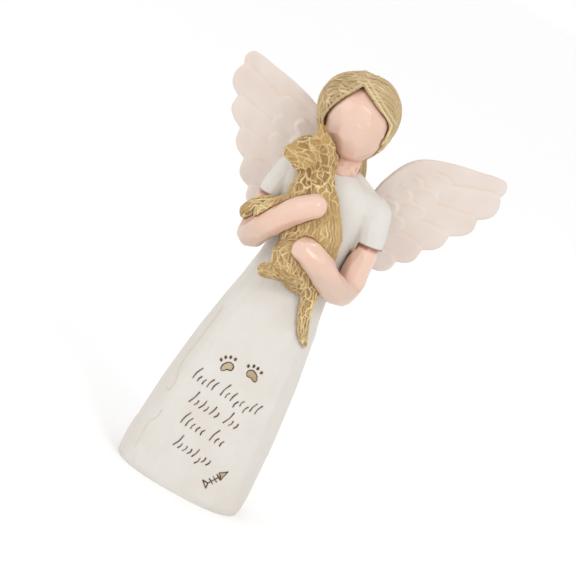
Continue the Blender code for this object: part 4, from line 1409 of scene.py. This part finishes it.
class Paint:
    """One finish: a material, its shader, and short ways to add nodes."""

    def __init__(self, name, constants):
        self.material = bpy.data.materials.new(name)
        self.material.use_nodes = True
        self.tree = self.material.node_tree
        self.shader = self.tree.nodes["Principled BSDF"]
        for socket, value in constants.items():
            self.shader.inputs[socket].default_value = value

    def node(self, kind, settings, sockets, output=0):
        """Add a node: settings first, then the values or wires of its sockets."""
        made = self.tree.nodes.new(kind)
        for name, value in settings.items():
            setattr(made, name, value)
        for name, value in sockets.items():
            if isinstance(value, Wire):
                self.tree.links.new(value.socket, made.inputs[name])
            else:
                made.inputs[name].default_value = value
        return Wire(self, made.outputs[output])

    def mask(self, name):
        """Read a value that was noted on the mesh."""
        return self.node("ShaderNodeAttribute", {"attribute_name": name}, {}, 2)

    def grain(self, scale, detail=3.0, roughness=0.5, stretch=(1, 1, 1)):
        """Read noise in the statue's own space, in lumps a metre."""
        place = self.node("ShaderNodeTexCoord", {}, {}, 3)
        if stretch != (1, 1, 1):
            place = self.node("ShaderNodeMapping", {}, {0: place, 3: stretch})
        return self.node("ShaderNodeTexNoise", {},
                         {"Vector": place, "Scale": scale, "Detail": detail, "Roughness": roughness})

    def between(self, wire, low, high):
        """Spread the part of a wire between low and high over 0 to 1."""
        return self.node("ShaderNodeMapRange", {}, {0: wire, 1: low, 2: high, 3: 0.0, 4: 1.0})

    def mix(self, share, first, second):
        """Lay the second colour over the first."""
        return self.node("ShaderNodeMix", {"data_type": "RGBA"}, {0: share, 6: first, 7: second}, 2)

    def layers(self, base, rows):
        """Lay thin coats and painted shade over a base: each row is a noted mask, its strength and the colour
        laid on.
        """
        for name, strength, shade in rows:
            base = self.mix(self.mask(name) * strength, base, colour(*shade))
        return base

    def finish(self, base, roughness, relief, depth):
        """Join colour, roughness and fine relief to the shader."""
        self.tree.links.new(base.socket, self.shader.inputs["Base Color"])
        self.tree.links.new(roughness.socket, self.shader.inputs["Roughness"])
        bump = self.node("ShaderNodeBump", {}, {"Height": relief, "Distance": depth, "Strength": 1.0})
        self.tree.links.new(bump.socket, self.shader.inputs["Normal"])

    def coat(self, things, slot, node):
        """Give the finish to pieces that stand for a solid, and set them in the frame."""
        for thing in things:
            thing.data.materials.clear()
            thing.data.materials.append(self.material)
            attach(thing, "root")
            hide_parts(node)
            write_points(thing.data, read_points(thing.data) * UNIT)
            thing.data.shade_smooth()
            thing.data.set_sharp_from_angle(angle=math.radians(50))
        print(self.material.name, "on", [thing.name for thing in things])


# %% [markdown]
# The gown is warm off-white, with a little tan in the creases. Shade is painted on it: a faint grey
# in its hollows and down the skirt's side planes, and a soft brown painted shadow where the cat lies
# on it and under the hair; a brown line runs under the sleeves' hems, where the arms come out. The
# finish is eggshell: rough, with a fine tooth from the brush.

# %% Gown paint
gown = Paint("gown_paint", {"Specular IOR Level": 0.35})
mottle = gown.between(gown.grain(55, 3, 0.55), 0.35, 0.65)
streaks = gown.between(gown.grain(260, 4, 0.6, (1, 1, 0.25)), 0.35, 0.7)
base = gown.mix(mottle, colour(217, 214, 208), colour(213, 207, 199))
base = gown.mix(streaks * 0.2, base, colour(207, 202, 193))
# painted shade: a faint grey in the hollows and down the skirt's side planes
base = gown.layers(base, (("hollow_wash_and_shade", 0.4, (204, 196, 185)), ("crease", 0.5, (198, 178, 152)),
                          ("smudge", 0.25, (178, 148, 120))))
base = gown.mix(gown.mask("fill"), base, gown.mix(mottle, colour(204, 189, 162), colour(168, 145, 112)))
# painted shadow: soft brown where the cat lies on the gown and under the hair; the hem is a brown wash line
base = gown.layers(base, (("wash_and_shade", 0.4, (150, 122, 96)), ("hem", 0.8, (146, 92, 62))))
gown.finish(base, 0.50 + streaks * 0.16, gown.grain(900, 4, 0.6), 0.00006)
gown.coat([skirt, bodice], "gown", "figure")

# %% [markdown]
# Skin is a peach coat, pinker in patches, with a satin to glossy varnish over it. Shade is painted
# into it: greyer low on the face and the arms, darker pink under the chin and where the skin meets
# the cat and the cloth, and darker pink in the hollows, partly wash. The dark line round the face and
# along the arms is the wash, which ran in where the brush met the hair.

# %% Skin paint
skin = Paint("skin_paint", {"Specular IOR Level": 0.5, "Coat Weight": 0.5, "Coat Roughness": 0.13})
blush = skin.between(skin.grain(70, 2, 0.5), 0.35, 0.68)
base = skin.mix(blush, colour(226, 191, 172), colour(221, 182, 162))
# painted shade: greyer low down, darker pink in the hollows (partly wash) and where the skin meets the cat,
# the neck and the cloth
base = skin.layers(base, (("painted_low_shade", 1.0, (209, 181, 163)), ("hollow_wash_and_shade", 0.4, (212, 158, 130)),
                          ("flush_and_shade", 0.45, (204, 138, 104)), ("wash_and_shade", 0.9, (136, 78, 46))))
skin.finish(base, 0.34 + blush * 0.14, skin.grain(700, 3, 0.5), 0.00004)
skin.coat([face, neck, *arms], "skin", "figure")

# %% [markdown]
# Fur and hair share one recipe in two mixes. Over a golden tan, a brown wash fills the hollows of
# some gouge marks more than others, and a dry brush with pale cream catches only the ridges.

# %% Fur and hair paint


def brushed_paint(name, tan, deep, cream, dark):
    """Mix the recipe: base, hollows, ridges, and the darkest wash against the neighbours, which on the cat
    also holds painted shade on its undersides.
    """
    fur = Paint(name, {"Specular IOR Level": 0.4})
    patches = fur.between(fur.grain(160, 3, 0.6), 0.38, 0.66)
    specks = fur.between(fur.grain(1400, 3, 0.6), 0.35, 0.7)
    ridge = fur.mask("ridge")
    base = fur.mix(patches * 0.6, colour(*tan), colour(*[round(v * 0.9) for v in tan]))
    base = fur.mix(fur.mask("tone") * (1 - ridge), base, colour(*deep))
    base = fur.mix(fur.mask("hollow_wash_and_shade") * (1 - ridge) * 0.5, base, colour(*deep))
    base = fur.mix(ridge * (0.7 + specks * 0.3), base, colour(*cream))
    # the darkest layer is wash, and on the cat also painted shade under its body
    base = fur.layers(base, (("wash_and_shade", 0.85, dark),))
    fur.finish(base, 0.42 + patches * 0.2, specks, 0.00005)
    return fur


hair_paint = brushed_paint("hair_paint", (184, 156, 108), (108, 66, 28), (232, 213, 170), (136, 80, 42))
hair_paint.coat([hair], "fur_and_hair", "figure")
fur_paint = brushed_paint("fur_paint", (186, 149, 89), (114, 70, 26), (243, 224, 172), (116, 72, 32))
fur_paint.coat([cat], "fur_and_hair", "figure")

# %% [markdown]
# The wings are the quietest part: pale blush, dead matt, with a warm cream painted shade in the
# grooves between the feathers. The strokes and toes are the same dark brown as the wash, a little uneven.

# %% Wing and stroke paint
down = Paint("wing_paint", {"Specular IOR Level": 0.25})
cloud = down.between(down.grain(60, 3, 0.55), 0.36, 0.66)
base = down.mix(cloud, colour(221, 209, 200), colour(218, 203, 193))
# painted shade: warm cream in the grooves between the feathers
base = down.layers(base, (("hollow_wash_and_shade", 0.4, (214, 190, 168)),))
down.finish(base, 0.62 + cloud * 0.12, down.grain(800, 4, 0.6), 0.00005)
down.coat([wings[0]], "wings", "wing_left")
down.coat([wings[1]], "wings", "wing_right")

ink = Paint("stroke_paint", {"Specular IOR Level": 0.4})
wear = ink.between(ink.grain(420, 3, 0.6), 0.4, 0.75)
ink.finish(ink.mix(wear * 0.6, colour(62, 36, 26), colour(128, 92, 66)), 0.45 + wear * 0.2, wear, 0.00003)
ink.coat([threads], "gown", "figure")

# %% [markdown]
# A plain pale floor, a pale sky and two soft lamps copy the studio: nearly no shadow, with a gentle
# light from the upper right that picks out the glossy cuts on the skin.

# %% Floor and lights
FLOOR_REACH = 30.0
CHEST = Vector((0, 0, 0.12))


def make_floor():
    """Lay a pale floor that reaches past the edge of every view."""
    mesh = bpy.data.meshes.new("floor")
    mesh.from_pydata([(-FLOOR_REACH, -FLOOR_REACH, 0), (FLOOR_REACH, -FLOOR_REACH, 0),
                      (FLOOR_REACH, FLOOR_REACH, 0), (-FLOOR_REACH, FLOOR_REACH, 0)], [], [(0, 1, 2, 3)])
    floor = put_in_scene("floor", mesh)
    pale = Paint("floor_paint", {"Base Color": (0.93, 0.93, 0.93, 1), "Roughness": 0.9,
                                 "Specular IOR Level": 0.1, "Emission Color": (1, 1, 1, 1),
                                 "Emission Strength": 0.05})
    mesh.materials.append(pale.material)


def add_lamp(name, place, power, size):
    """Hang a square soft lamp that faces the statue's chest."""
    lamp = bpy.data.lights.new(name, "AREA")
    lamp.energy = power
    lamp.size = size
    hung = put_in_scene(name, lamp)
    hung.location = place
    hung.rotation_euler = (Vector(place) - CHEST).to_track_quat("Z", "Y").to_euler()


make_floor()
add_lamp("key", (0.75, -1.35, 1.35), 5.6, 0.45)
add_lamp("fill", (-1.3, -1.2, 0.7), 3.0, 0.8)
sky = bpy.data.worlds.new("sky")
sky.use_nodes = True
sky.node_tree.nodes["Background"].inputs["Color"].default_value = (1, 1, 1, 1)
sky.node_tree.nodes["Background"].inputs["Strength"].default_value = 1.0
bpy.context.scene.world = sky
bpy.context.scene.view_settings.view_transform = "Standard"
print("lamps hung")

# %% [markdown]
# The photograph was taken a little from above with a long lens, and the camera was rolled, so the
# statue leans in the frame. A camera looks along its own -Z, so the roll is one turn about Z.

# %% Camera
FRAME_PIXELS = 576
FOCAL_PIXELS = 2276
CAMERA_RAISED = math.radians(9.5)
CAMERA_ROLL = math.radians(29.3)
AIM = Vector((0.0009, 0.0, 0.0995))
FROM_AIM = 1.0

lens = bpy.data.cameras.new("camera")
lens.sensor_width = 36
lens.lens = FOCAL_PIXELS / FRAME_PIXELS * lens.sensor_width
lens.clip_start = 0.05
lens.clip_end = 100
camera = put_in_scene("camera", lens)
back = Vector((0, -math.cos(CAMERA_RAISED), math.sin(CAMERA_RAISED)))
camera.location = AIM + back * FROM_AIM
aimed = (-back).to_track_quat("-Z", "Y").to_matrix()
camera.rotation_euler = (aimed @ Matrix.Rotation(CAMERA_ROLL, 3, "Z")).to_euler()
bpy.context.scene.camera = camera
print("camera at", [round(v, 3) for v in camera.location])
